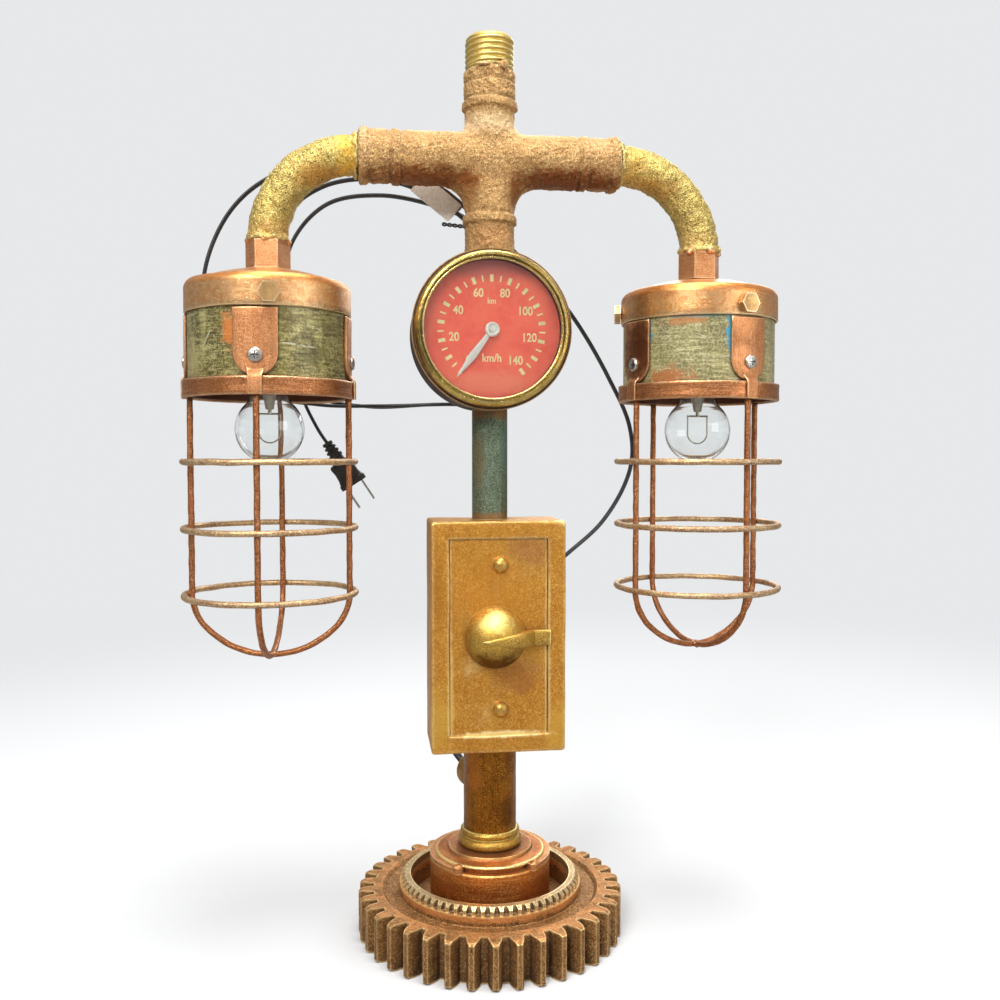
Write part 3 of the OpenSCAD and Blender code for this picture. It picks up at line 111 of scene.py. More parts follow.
def grid_piece(name, grids, material, body="frame", ends=True, sharp=None):
    """One closed piece from a grid of points, or from several of the same rows and columns, rows along the first
    index. Each row is joined around. ends closes the first and last row with a fan to their middle point; without
    ends the last row lies on the first one and is joined to it."""
    grids = np.reshape(grids, (-1,) + np.shape(grids)[-3:])
    if not ends:
        grids = grids[:, :-1]
    count, rows, columns = grids.shape[:3]
    size = rows * columns
    here = np.arange(size).reshape(rows, columns)
    nxt = np.roll(here, -1, axis=1)
    quads = np.stack([here, nxt, np.roll(nxt, -1, axis=0), np.roll(here, -1, axis=0)], axis=-1)
    points, fans = grids.reshape(count, -1, 3), np.zeros((0, 3), int)
    if ends:
        quads = quads[:-1]
        points = np.concatenate([points, grids[:, :1].mean(axis=2), grids[:, -1:].mean(axis=2)], axis=1)
        fans = np.vstack([np.stack([nxt[0], here[0], np.full(columns, size)], axis=-1),
                          np.stack([here[-1], nxt[-1], np.full(columns, size + 1)], axis=-1)])
    step = (np.arange(count) * points.shape[1])[:, None, None]
    points, quads = points.reshape(-1, 3), quads.reshape(-1, 4) + step
    return mesh_piece(name, points, quads, fans + step, material, body, sharp)


def mesh_piece(name, points, quads, triangles, material, body="frame", sharp=None):
    """A mesh object from arrays of points, quads and triangles, smooth, with edges over sharp degrees kept sharp. The
    faces are turned over when the volume, the sum of a . (b x c) / 6 over the triangles, is under zero."""
    quads, triangles = np.reshape(quads, (-1, 4)).astype(int), np.reshape(triangles, (-1, 3)).astype(int)
    halves = np.vstack([triangles, quads[:, [0, 1, 2]], quads[:, [0, 2, 3]]])
    a, b, c = (points[halves[:, k]] - points.mean(axis=0) for k in range(3))
    if np.einsum("ij,ij", a, np.cross(b, c)) < 0:
        quads, triangles = quads[:, ::-1], triangles[:, ::-1]
    mesh = bpy.data.meshes.new(name)
    corners = np.concatenate([np.ravel(quads), np.ravel(triangles)]).astype(np.int32)
    sizes = np.repeat([4, 3], [len(quads), len(triangles)])
    mesh.vertices.add(len(points))
    mesh.vertices.foreach_set("co", np.ravel(points).astype(np.float32))
    mesh.loops.add(len(corners))
    mesh.loops.foreach_set("vertex_index", corners)
    mesh.polygons.add(len(sizes))
    mesh.polygons.foreach_set("loop_start", np.concatenate([[0], np.cumsum(sizes)[:-1]]).astype(np.int32))
    mesh.polygons.foreach_set("use_smooth", np.ones(len(sizes), bool))
    mesh.update(calc_edges=True)
    mesh.validate()
    if sharp:
        mesh.set_sharp_from_angle(angle=math.radians(sharp))
    mesh.materials.append(material)
    piece = link(name, mesh)
    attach(piece, body)
    return piece


def xyz(x, y, z, unit=0.001):
    """Points in metres from x, y and z, each an array or one number, in millimetres unless unit is 1."""
    return np.stack(np.broadcast_arrays(x, y, z), axis=-1) * unit


def along(path, section, facing):
    """Carries a flat section along a path: point = path + a * side + b * up, where side is square to the path and
    to facing, and up is square to both. section has (a, b) pairs, one list for all rows or one list for each."""
    tangent = np.gradient(path, axis=0)
    tangent /= np.linalg.norm(tangent, axis=1, keepdims=True)
    side = np.cross(tangent, facing)
    side /= np.linalg.norm(side, axis=1, keepdims=True)
    up = np.cross(side, tangent)
    return path[:, None, :] + section[..., :1] * side[:, None, :] + section[..., 1:] * up[:, None, :]


def ring_of(radius_a, radius_b, count, power=1.0):
    """Closed outline in metres: a = ra * cos^p, b = rb * sin^p with their signs kept; power under 1 is boxy. ra, rb and
    p are in millimetres, or arrays with one value for each of many outlines."""
    angle = np.linspace(0, 2 * np.pi, count, endpoint=False)
    way = np.stack([np.cos(angle), np.sin(angle)], axis=-1)
    radii = np.stack(np.broadcast_arrays(radius_a, radius_b), axis=-1)[..., None, :] / 1000
    return radii * np.sign(way) * np.abs(way) ** np.asarray(power)[..., None, None]


def tone(code):
    """Linear colour of a display colour in six hex digits, with c from 0 to 1: c / 12.92 under 0.04045, else
    ((c + 0.055) / 1.055) ** 2.4."""
    c = np.array(list(bytes.fromhex(code))) / 255
    return tuple(float(v) for v in np.where(c <= 0.04045, c / 12.92, ((c + 0.055) / 1.055) ** 2.4))


class Nodes:
    """Short calls that add shader nodes to one tree. Any input takes a number, a linear colour, hex digits of a display
    colour or a socket. An input is given by its name, or by i and its index."""

    def __init__(self, tree):
        self.tree = tree

    def add(self, kind, settings=(), **inputs):
        node = self.tree.nodes.new("ShaderNode" + kind)
        for key, value in dict(settings).items():
            setattr(node, key, value)
        for key, value in inputs.items():
            index = key[1:].isdigit()
            self.put(node.inputs[int(key[1:]) if index else key.replace("_", " ")], value)
        return node

    def put(self, socket, value):
        if isinstance(value, bpy.types.NodeSocket):
            self.tree.links.new(value, socket)
        elif socket.type == "RGBA":
            socket.default_value = (*(tone(value) if isinstance(value, str) else value), 1)
        else:
            socket.default_value = value

    def math(self, operation, a, b=0.5, clamp=False):
        return self.add("Math", {"operation": operation, "use_clamp": clamp}, i0=a, i1=b).outputs[0]

    def times(self, a, b):
        return self.math("MULTIPLY", a, b)

    def plus(self, a, b):
        return self.math("ADD", a, b)

    def minus(self, a, b):
        return self.math("SUBTRACT", a, b)

    def length(self, where):
        return self.add("VectorMath", {"operation": "LENGTH"}, i0=where).outputs["Value"]

    def mix(self, factor, a, b):
        return self.add("Mix", {"data_type": "RGBA"}, i0=factor, i6=a, i7=b).outputs[2]

    def over(self, colour, top, mask, strength, clamp=False):
        """The colour with top laid over it by mask times strength."""
        return self.mix(self.math("MULTIPLY", mask, strength, clamp), colour, top)

    def level(self, factor, a, b):
        return self.add("Mix", {"data_type": "FLOAT"}, i0=factor, i2=a, i3=b).outputs[0]

    def step(self, value, low, high, out_low=0.0, out_high=1.0):
        return self.add("MapRange", {"interpolation_type": "SMOOTHSTEP"}, i0=value, i1=low, i2=high, i3=out_low,
                        i4=out_high).outputs[0]

    def place(self, scale=(1, 1, 1), shift=(0, 0, 0)):
        where = self.add("TexCoord").outputs["Object"]
        return self.add("Mapping", Vector=where, Location=shift, Scale=scale).outputs[0]

    def noise(self, scale, detail=3.0, rough=0.55, where=None, distort=0.0):
        return self.add("TexNoise", Vector=where or self.place(), Scale=scale, Detail=detail, Roughness=rough,
                        Distortion=distort).outputs["Fac"]


def new_material(name):
    """A material with an empty tree, and the short calls for it."""
    material = bpy.data.materials.new(name)
    material.use_nodes = True
    material.node_tree.nodes.clear()
    return material, Nodes(material.node_tree)


def finish_material(n, height=None, bump=1.0, **inputs):
    """The Principled shader of a material, its bump from height in metres, and the output."""
    if height is not None:
        inputs["Normal"] = n.add("Bump", Height=height, Strength=bump, Distance=1.0).outputs[0]
    n.add("OutputMaterial", i0=n.add("BsdfPrincipled", **inputs).outputs[0])


def plain_plastic(name, colour, dust, rough):
    """Moulded plastic or rubber: one colour, a grey bloom of dust in large soft patches and a fine grain."""
    material, n = new_material(name)
    bloom = n.step(n.noise(26, 4), 0.45, 0.8)
    finish_material(n, n.times(n.noise(1800, 2), 0.00006), 0.6, Base_Color=n.over(colour, dust, bloom, 0.35),
                    Roughness=n.level(bloom, rough, rough + 0.2), Specular_IOR_Level=0.45)
    return material


cord_plastic = plain_plastic("cord plastic", (0.018, 0.018, 0.019), (0.11, 0.11, 0.11), 0.42)
flex_line = smooth_route(route, 14)
outline = ring_of(flex_width * 500, flex_thickness * 500, 24)
outline[:, 1] *= 1 - flex_groove * np.exp(-(outline[:, 0] / 0.0008) ** 2)
# the section's width lies along flex_facing: across at the bush, then front to back, so its thin side is seen
front = np.array([0.0, -1.0, 0.0])
lean = np.clip((np.arange(len(flex_line)) - 26) / 30, 0, 1)[:, None]
flex_facing = (1 - lean) * np.array([1.0, 0.0, 0.0]) + lean * front
cord = grid_piece("cord_flex", along(flex_line, outline[:, ::-1], flex_facing), cord_plastic)
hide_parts("cord")


# ------------------------------
# Plug: moulded two-pin mains plug at the cord's end: a ribbed sleeve that tapers to the cord, a waisted grip and a
# square flange. The two bare blades are the imported model's own, with the zinc-plate finish.
plug_at, plug_lean = np.array([-0.112, 0.075, 0.334]), math.radians(33)
plug_axis = np.array([math.sin(math.pi - plug_lean), 0, math.cos(math.pi - plug_lean)])
plug_plastic = plain_plastic("plug plastic", (0.028, 0.024, 0.018), (0.10, 0.09, 0.07), 0.38)
plug_along = np.array([0.0, 0.2, 2.4, 2.6, 3.6, 3.8, 5.6, 5.8, 6.8, 7.0, 9.0, 9.2, 10.4, 10.6, 12.8, 13.0, 16.6, 17.4,
                       19.0, 24.0, 29.0, 32.0, 32.8, 33.4, 36.4, 36.9, 37.0])
plug_wide = np.array([2.2, 3.9, 4.1, 3.1, 3.1, 4.4, 4.6, 3.5, 3.5, 4.9, 5.1, 4.0, 4.0, 5.4, 5.6, 4.6, 5.2, 8.2,
                      8.9, 8.2, 8.5, 9.2, 9.6, 10.3, 10.3, 9.8, 9.0])
plug_thick = np.array([2.2, 3.6, 3.7, 2.8, 2.8, 3.8, 3.9, 3.1, 3.1, 4.0, 4.1, 3.4, 3.4, 4.3, 4.4, 4.0, 4.6, 6.0,
                       6.4, 5.6, 5.9, 6.4, 6.7, 7.3, 7.3, 6.9, 6.2])
boxy = np.interp(plug_along, [0, 16, 19, 37], [1.0, 0.95, 0.6, 0.45])
plug_line = plug_at + plug_axis * (plug_along[:, None] / 1000 + 0.0002)
plug = grid_piece("plug_moulding", along(plug_line, ring_of(plug_wide, plug_thick, 40, boxy), front), plug_plastic,
                  sharp=50)
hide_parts("plug_body")


# ------------------------------
# Base gear: an old iron gear wheel under a copper-bronze patina. Its teeth are dark with bright chipped edges, the
# rim's top and the flat ring are lighter as a painted highlight of the light from above, and the recess is dusty. It
# is the imported model's own shape.
def effect(name, inputs, build):
    """A shader node group with number inputs and their defaults. build gets the short calls and the inputs and
    returns the outputs by name."""
    tree = bpy.data.node_groups.new(name, "ShaderNodeTree")
    for key, value in inputs.items():
        tree.interface.new_socket(key, in_out="INPUT", socket_type="NodeSocketFloat").default_value = value
    given = [socket for socket in tree.nodes.new("NodeGroupInput").outputs if socket.name]
    results = build(Nodes(tree), *given)
    out = tree.nodes.new("NodeGroupOutput")
    for key, value in results.items():
        tree.interface.new_socket(key, in_out="OUTPUT", socket_type="NodeSocketFloat")
        tree.links.new(value, out.inputs[key])
    return tree


def use(n, tree, **values):
    """Places an effect in a material with its own values and gives its outputs."""
    return n.add("Group", {"node_tree": tree}, **values).outputs


def build_wear(n, reach, scale):
    """Edge is where a short ray inside the solid soon leaves it, broken up by noise; Crevice is where a longer ray
    outside soon meets a surface."""
    inside = n.add("AmbientOcclusion", {"inside": True, "only_local": True, "samples": 6}, Distance=reach)
    outside = n.add("AmbientOcclusion", {"samples": 6}, Distance=n.times(reach, 6))
    ragged = n.noise(scale, 4, 0.65)
    bare = n.times(n.minus(1, inside.outputs["AO"]), n.plus(n.times(ragged, 1.6), 0.1))
    closed = n.times(n.minus(1, outside.outputs["AO"]), n.plus(n.times(ragged, 1.2), 0.4))
    return {"Edge": n.step(bare, 0.10, 0.34), "Crevice": n.step(closed, 0.26, 0.85)}


def build_patina(n, scale):
    """Cloud is a broad soft variation, Speck fine dots, Streak long marks that run down, and Grain a grit of light and
    dark from -1 to 1."""
    grain = n.plus(n.times(n.noise(n.times(scale, 30), 3, 0.75), 0.75), n.times(n.noise(scale, 6, 0.8), 0.25))
    return {"Cloud": n.step(n.noise(scale, 4, 0.6, distort=0.3), 0.36, 0.66),
            "Speck": n.step(n.noise(n.times(scale, 15), 3, 0.7), 0.5, 0.72),
            "Streak": n.step(n.noise(n.times(scale, 4), 3, 0.6, where=n.place(scale=(1, 1, 0.12))), 0.45, 0.72),
            "Grain": n.step(grain, 0.38, 0.62, -1, 1)}


def build_skin(n, scale):
    """Cast skin: Height is a sum of a coarse and a fine noise less round pits, and Pit is where the pits lie."""
    coarse = n.noise(scale, 3, 0.6)
    fine = n.noise(n.times(scale, 4), 2, 0.6)
    cells = n.add("TexVoronoi", Vector=n.place(), Scale=n.times(scale, 1.3)).outputs["Distance"]
    pit = n.times(n.step(cells, 0.32, 0.08), n.step(coarse, 0.62, 0.4))
    return {"Height": n.minus(n.plus(coarse, n.times(fine, 0.35)), n.times(pit, 0.7)), "Pit": pit}


worn_edges = effect("worn edges", {"Reach": 0.0012, "Scale": 260.0}, build_wear)
patina = effect("patina", {"Scale": 30.0}, build_patina)
cast_skin = effect("cast skin", {"Scale": 500.0}, build_skin)


def spot_mask(n, centre, size, ragged=0.7, scale=120):
    """1 in the middle of an ellipsoid patch that breaks up towards its rim, from its centre and half sizes in
    millimetres. It lays stains, and painted highlights and painted shade as well."""
    size = np.array(size, float)
    reach = n.length(n.place(scale=tuple(1000 / size), shift=tuple(-np.array(centre) / size)))
    rim = n.plus(reach, n.times(n.minus(n.noise(scale, 6, 0.75), 0.5), ragged * 3))
    return n.step(rim, 1.15, 0.45)


def aged_metal(name, colours, scale=60, reach=0.0012, skin=700, depth=0.0003, rough=(0.3, 0.5), metal=0.85, cloud=0.7,
               speck=0.5, streak=0.3, grain=0.35, wear=0.85, dirt=0.7, bump=0.8, lines=None, spots=()):
    """A worn metal finish from five display colours: main, dark in clouds, light in specks, edge where it is rubbed
    bare and grime in the crevices. spots are ellipsoid patches, stains on some finishes and painted highlights and
    painted shade on others: the centre, the half sizes, colour and strength. lines are (scale, strength) of brush
    marks, whose scale has one number for each axis."""
    material, n = new_material(name)
    main, dark, light, edge, grime = colours.split()
    marks = use(n, patina, Scale=scale)
    rubbed = use(n, worn_edges, Reach=reach)
    cast = use(n, cast_skin, Scale=skin)
    colour = n.over(main, dark, marks["Cloud"], cloud)
    colour = n.over(colour, light, marks["Speck"], speck)
    colour = n.over(colour, dark, marks["Streak"], streak)
    colour = n.over(colour, light, marks["Grain"], grain, clamp=True)
    colour = n.over(colour, dark, marks["Grain"], -grain, clamp=True)
    height = n.times(cast["Height"], depth)
    if lines:
        brushed = n.noise(1, 2, 0.7, where=n.place(scale=lines[0]))
        colour = n.over(colour, light, n.step(brushed, 0.42, 0.7), lines[1])
        height = n.plus(height, n.times(brushed, 0.00005))
    # spots lay stains, and also painted highlights and painted shade, over the colour.
    for *where, patch_tone, strength in spots:
        colour = n.over(colour, patch_tone, spot_mask(n, where[:3], where[3:]), strength)
    colour = n.over(colour, grime, cast["Pit"], 0.7)
    colour = n.over(colour, grime, rubbed["Crevice"], dirt)
    bare = n.times(rubbed["Edge"], wear)
    dull = n.level(marks["Cloud"], rough[0], rough[1])
    dull = n.level(rubbed["Crevice"], dull, min(1.0, rough[1] + 0.2))
    finish_material(n, height, bump, Base_Color=n.mix(bare, colour, edge),
                    Roughness=n.level(bare, dull, rough[0] * 0.85),
                    Metallic=n.level(rubbed["Crevice"], metal, metal * 0.5))
    return material


def dress(nodes, material):
    """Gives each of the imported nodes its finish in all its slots."""
    for node in nodes.split():
        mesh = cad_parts[node].data
        mesh.materials.clear()
        mesh.materials.append(material)


# e8a060 on the rim's top and a8784a on the flat ring are a painted highlight of the light from above.
dress("base_gear", aged_metal("gear iron", "a07240 603e1c e2b074 f4ce8e 2c1a0a", scale=38, reach=0.0017, skin=420,
    depth=0.0006, rough=(0.38, 0.62), metal=0.8, streak=0.55, grain=0.6, wear=0.75, dirt=0.9, bump=1,
    spots=[(0, 0, 31.5, 126, 126, 3.4, "e8a060", 0.7), (0, 0, 21, 106, 106, 3.5, "a8784a", 0.6),
    (0, 0, 37, 58, 58, 5, "c65c24", 0.85), (78, -52, 22, 7, 7, 6, "28180e", 0.9),
    (0, 0, 19, 50, 50, 1.5, "b69674", 0.6)]))


# ------------------------------
# Tooth ring, hub and snap ring: a pale brass ring of fine teeth lies on the collar, and a turned bronze hub stands
# in the middle. A copper snap ring sits in the hub's groove, with a blob of solder at each lug.
dress("tooth_ring", aged_metal("tooth ring brass", "ceb078 926a3c e8d4a4 fff0c4 28160a", depth=0.0002, grain=0.5,
    dirt=0.95))
dress("bearing_hub", aged_metal("hub bronze", "c86e2a 763a14 f4ac5c ffe296 381c0c", scale=42, reach=0.0018, skin=520,
    rough=(0.3, 0.52), grain=0.4, lines=((40, 40, 1400), 0.4), spots=[(0, 0, 57, 42, 42, 3.2, "96704e", 0.6),
    (-30, -28, 26, 16, 10, 8, "5c3018", 0.7)]))
snap_copper = aged_metal("snap ring copper", "d69458 9c5c2e f0bc86 ffe2b2 462a1c", reach=0.0006, depth=0.00012)
dress("snap_ring", snap_copper)


def lumpy(points, size, scale, seed):
    """Moves points by a smooth random field: the sum of 14 sine waves in random directions, each with its own phase,
    for each axis; size is the height in metres and scale the waves for each metre."""
    random = np.random.default_rng(seed)
    waves = random.normal(size=(3, 14, 3))
    waves *= scale * 2 * np.pi / np.linalg.norm(waves, axis=-1, keepdims=True) * random.uniform(0.4, 1.2, (3, 14, 1))
    phase = random.uniform(0, 2 * np.pi, (3, 14))
    field = np.sin(np.einsum("...k,amk->...am", points, waves) + phase).sum(axis=-1) / math.sqrt(14)
    return points + size * field


def blob(centre, size, seed):
    """A ball of half sizes size about centre, made lumpy: latitude along the rows, longitude along the columns."""
    height = np.linspace(-np.pi / 2 + 0.08, np.pi / 2 - 0.08, 14)[:, None]
    turn = np.linspace(0, 2 * np.pi, 20, endpoint=False)
    ball = xyz(np.cos(height) * np.cos(turn), np.cos(height) * np.sin(turn), np.sin(height), 1)
    return lumpy(np.array(centre) + ball * np.array(size), float(np.min(size)) * 0.16, 220, seed)


lug_radius, lug_top = 0.0408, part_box("snap_ring")[1].z
grid_piece("snap_ring_solder", [
    blob((lug_radius * math.cos(a), lug_radius * math.sin(a), lug_top - 0.0006), (0.0036, 0.0032, 0.0019), seed)
    for a, seed in ((math.radians(-128.5), 5), (math.radians(-51.5), 6))], snap_copper)


# ------------------------------
# Lower post: a bronze-gold pipe with darker streaks, in a yellow brass foot of two beads. The cord leaves through a
# brass boss and a black bush at the back. The hollow rod and its nut hold the stack together from below.
dress("post_foot", aged_metal("foot brass", "c4943a 805214 f0d474 fcec96 402408", reach=0.0014, skin=600,
    rough=(0.26, 0.46)))
dress("lower_post", aged_metal("post bronze", "985c18 582e08 c48a32 e2b25a 2c1806", scale=44, reach=0.001, skin=380,
    rough=(0.28, 0.46), metal=0.9, streak=0.8, grain=0.5, spots=[(-14, -14, 112, 8, 10, 18, "be702e", 0.5),
    (10, -16, 84, 8, 8, 12, "4c280a", 0.6)]))
outlet_brass = aged_metal("outlet brass", "b07a2c 704614 d6a852 f0cc78 36200a", skin=500, depth=0.00025,
    rough=(0.32, 0.52))
dress("cord_boss", outlet_brass)
dress("cord_bush", plain_plastic("bush rubber", (0.02, 0.02, 0.02), (0.09, 0.09, 0.09), 0.6))
zinc = aged_metal("zinc plate", "a8a8a2 808078 c4c4be d6d6d2 46423c", skin=500, depth=0.00005)
dress("tie_rod base_nut box_locknuts switch_nut switch_spindle needle_spindle gauge_movement plug_blades "
      "bulb_contact_left bulb_contact_right", zinc)


# ------------------------------
# Switch box: a sand-cast box with worn round edges and a border around its recessed front plate, in gold-brown
# patina. Two dome-head screws hold the plate.
box_centre, box_half, plate_half = np.array([3.2, 204.0]), np.array([44.75, 77.0]), np.array([32.85, 66.1])


def arc_points(centre_a, centre_b, radius, start, stop, count):
    """Points (a, b) on a circular arc, with its angles in degrees."""
    angle = np.radians(np.linspace(start, stop, count))
    return np.stack([centre_a + radius * np.cos(angle), centre_b + radius * np.sin(angle)], axis=-1)


def rounded_rings(half, profile, edge=12):
    """Rounded rectangles about the box's middle that face the front, one for each (inset, corner radius, y) of profile,
    in millimetres. A point is sign * (half - inset - corner) + way * corner: sign runs along an edge, and way turns at
    a corner."""
    turn = np.radians(np.linspace(0, 90, 6))
    run = np.linspace(-1, 1, edge + 2)[1:-1]
    sign = np.vstack([np.stack([np.ones(edge), run], axis=-1), np.ones((6, 2))])
    way = np.vstack([np.tile([1.0, 0.0], (edge, 1)), np.stack([np.cos(turn), np.sin(turn)], axis=-1)])
    quarters = np.array([[[1, 0], [0, 1]], [[0, -1], [1, 0]], [[-1, 0], [0, -1]], [[0, 1], [-1, 0]]], float)
    sign, way = (np.einsum("kij,nj->kni", quarters, v).reshape(-1, 2) for v in (sign, way))
    inset, corner, level = np.array(profile, float).T[:, :, None, None]
    flat = sign * (half - inset - corner) + way * corner + box_centre
    return xyz(flat[..., 0], level[..., 0], flat[..., 1])


# The pale ffecaa, ecc86e and f4d482 lines along the front plate's lower, left and right edges are painted highlights
# where the recess's edges catch the light.
box_paint = aged_metal("box paint", "ca8e34 9a5e14 eeba60 ffe8a4 54300a", scale=34, reach=0.0024, rough=(0.38, 0.56),
    metal=0.72, cloud=0.5, speck=0.3, grain=0.4, wear=0.9, spots=[(-38, -24, 150, 12, 8, 22, "d6a846", 0.6),
    (44, -24, 142, 12, 8, 20, "d6a644", 0.6), (46, -24, 281, 7, 9, 4, "f0d08c", 0.8),
    (18, -23, 176, 16, 6, 12, "965c16", 0.4), (0, -23, 236, 30, 6, 26, "ce862e", 0.4),
    (24, -22, 262, 16, 6, 12, "a06846", 0.45), (14, -22, 178, 18, 6, 14, "a6683c", 0.4),
    (-37, -24, 236, 5, 6, 40, "a8681e", 0.5), (-29, -21, 160, 3, 6, 56, "ecc86e", 0.5),
    (4, -21, 139, 40, 6, 2.6, "ffecaa", 0.85), (36, -21, 200, 2.2, 6, 66, "f4d482", 0.6)])
# rows of inset, corner radius and y: outside from the middle of the back to the front, then the opening and the inside
box_profile = [
    (38, 1.0, 25), (20, 1.5, 25), (3.2, 2.0, 25), *[(1.8 - a, 2.2, b) for a, b in arc_points(0, 23.2, 1.8, 90, 0, 5)],
    *[(0, 2.2, y) for y in (18, 10, 2, -6, -14, -20)],
    *[(1.5 - a, 2.2, b) for a, b in arc_points(0, -23.5, 1.5, 0, -90, 5)],
    (4, 2.0, -25), (7, 1.8, -25), (10.4, 1.4, -25), (11.2, 1.0, -24.9), (11.7, 0.8, -24.5), (11.85, 0.7, -24),
    (11.9, 0.6, -20.2), (11, 1, -19.9), (3.2, 1, -19.6), (3, 1, -19), (3, 1, 21.6), (3.4, 1, 22), (20, 1, 22),
    (38, 0.8, 22)]
box_shell = lumpy(rounded_rings(box_half, box_profile), 0.00016, 34, 3)
box_shell = np.clip(box_shell, [-0.04155, -0.025, 0.127], [0.04795, 0.025, 0.281])
box = grid_piece("switch_box_casting", box_shell, box_paint, sharp=50)
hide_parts("switch_box")
plate_profile = [(30, 0.6, -20.6), (2, 0.8, -20.6), (0.6, 0.8, -20.6), (0.25, 0.8, -20.9), (0.25, 0.8, -22.4),
                 (0.5, 0.8, -22.8), (1.0, 0.8, -23), (4, 0.8, -23), (14, 1, -23), (30, 0.6, -23)]
plate = lumpy(rounded_rings(plate_half, plate_profile, edge=20), 0.0001, 40, 4)
plate[..., 1] = np.maximum(plate[..., 1], -0.0231)
front_plate = grid_piece("front_plate", plate, box_paint, sharp=50)
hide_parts("front_panel")
screw_brass = aged_metal("screw brass", "cea04e 926224 eeca7a fce8a2 3a220c", scale=90, skin=900, depth=0.00008)
dress("panel_screws", screw_brass)
dress("switch_body", plain_plastic("switch body", (0.02, 0.018, 0.016), (0.08, 0.08, 0.07), 0.5))


# ------------------------------
# Switch knob: a spun brass dome with a painted highlight on its top and painted shade on its lower side, and a
# soldered lever that starts in a point on the left and ends in a flat tongue on the right. Both turn with the spindle.
def turned(profile, centre, columns, axis="z"):
    """Turns a profile of (radius, height) about an axis, all in millimetres: x = r cos, y = r sin, z = height for an
    upright axis at centre (x, y), or x = r cos, z = r sin, y = height for an axis to the back at centre (x, z)."""
    radius, height = np.array(profile, float).T[:, :, None]
    angle = np.linspace(0, 2 * np.pi, columns, endpoint=False)
    across, up = radius * np.cos(angle) + centre[0], radius * np.sin(angle)
    return xyz(across, up + centre[1], height) if axis == "z" else xyz(across, height, centre[1] - up)


# fae88c on the dome's top is a painted highlight, and 542e06 on its lower side is painted shade.
knob_brass = aged_metal("knob brass", "c69c42 865a1c ecce74 fcec98 38220a", scale=50, reach=0.0016, skin=620,
    rough=(0.4, 0.56), speck=0.35, streak=0.2, grain=0.5, spots=[(0, -40, 219, 17, 14, 9, "fae88c", 0.75),
    (0, -34, 186, 22, 14, 13, "542e06", 0.85)])
dome = [(2, -23.4), *arc_points(0, -21.52, 20.885, -5.1, -88, 26)]
knob_dome = grid_piece("knob_dome", lumpy(turned(dome, (0.8, box_centre[1]), 72, "y"), 0.00008, 60, 8), knob_brass,
                       "knob", sharp=60)
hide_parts("switch_knob")
lever_x = np.array([-9.6, -9.4, -7, -4, 0, 4, 9, 13, 17, 20, 22.4, 24.4, 26, 29, 33, 36.2, 37.0, 37.2]) - 0.8
lever_top = np.interp(lever_x, [-9.6, -9.4, -4, 4, 10, 14, 18, 21.6, 24.8, 29, 37.2],
                      [-41.0, -42.2, -43.0, -43.5, -42.6, -40.9, -37.6, -33.4, -29.8, -29.1, -29.0])
lever_low = np.interp(lever_x, [-9.6, 4, 14, 19, 22, 24.4, 37.2], [-40.6, -38, -33, -29.4, -26.2, -25.7, -25.6])
lever_half = np.interp(lever_x, [-9.6, -7, 0, 6, 14, 20, 36.2, 37.0, 37.2],
                       [0.15, 0.9, 2.6, 3.9, 5.2, 5.4, 5.0, 4.6, 3.6])
lever_rise = np.maximum((lever_low - lever_top) / 2, 0.1)
lever_line = xyz(lever_x + 0.8, (lever_top + lever_low) / 2, box_centre[1])
grid_piece("knob_lever", along(lever_line, ring_of(lever_rise, lever_half, 24, 0.55), np.array([0.0, 0.0, 1.0])),
           knob_brass, "knob", sharp=40)


# ------------------------------
# Riser: a copper pipe under blue-green verdigris between the switch box and the gauge, brown where the gauge case is
# brazed to it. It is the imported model's own shape.
dress("riser_post", aged_metal("verdigris", "687862 3e422c 98a88e c6b484 322414", scale=46, reach=0.001, skin=420,
    rough=(0.42, 0.62), metal=0.55, speck=0.6, streak=0.6, grain=0.5, spots=[(0, 0, 353, 30, 30, 6, "84582e", 0.8),
    (0, 0, 283, 30, 30, 4, "966a36", 0.7), (-9, -10, 320, 6, 8, 22, "7c6842", 0.5),
    (9, -10, 330, 4, 8, 18, "567c70", 0.5)]))


# ------------------------------
# Gauge: a dark bronze cup with a rolled brass bezel and a clear glass in a black spacer. The dial is coral red
# enamel with cream marks and a painted shadow of the bezel across its top; the pointer is silver-white, with a round
# hub, and turns on the spindle.
gauge_centre = (-1.5, 406.0)
dress("gauge_case", aged_metal("case bronze", "3a2212 1e1008 5c3a1e c4965a 140a04", scale=40, skin=600, depth=0.0002,
    rough=(0.5, 0.72), metal=0.35, lines=((60, 1200, 60), 0.2)))
bezel_brass = aged_metal("bezel brass", "d6b45c 88642c f4e290 fffabe 281608", scale=50, skin=800, depth=0.00016,
    rough=(0.14, 0.32), metal=1, speck=0.4, streak=0.2, grain=0.45, dirt=0.9,
    spots=[(-46, -30, 390, 10, 10, 30, "5c3e1a", 0.6), (20, -30, 452, 24, 10, 6, "5a3e1e", 0.5),
    (44, -30, 420, 8, 10, 26, "78582c", 0.5)])
bezel_profile = [
    (50.5, -27.2), (50.5, -29.4), *arc_points(47.6, -30.1, 2.9, 0, -95, 9), (46.95, -32.2), (46.7, -31.5),
    (46.3, -31.7), *arc_points(45.6, -31.2, 0.9, -60, -180, 6), (44.7, -30.6), (47.2, -30.4), (47.4, -26),
    (49.6, -24.6), (49.8, -27.1), (50.5, -27.2)]
bezel = grid_piece("bezel_roll", turned(bezel_profile, gauge_centre, 128, "y"), bezel_brass,
                   ends=False, sharp=60)
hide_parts("gauge_bezel")
dress("gauge_spacer", plain_plastic("spacer", (0.015, 0.015, 0.015), (0.05, 0.05, 0.05), 0.5))
glass, n = new_material("clear glass")
finish_material(n, Base_Color=(0.97, 0.99, 0.985), Roughness=0.015, IOR=1.45, Transmission_Weight=1.0)
dress("gauge_glass", glass)

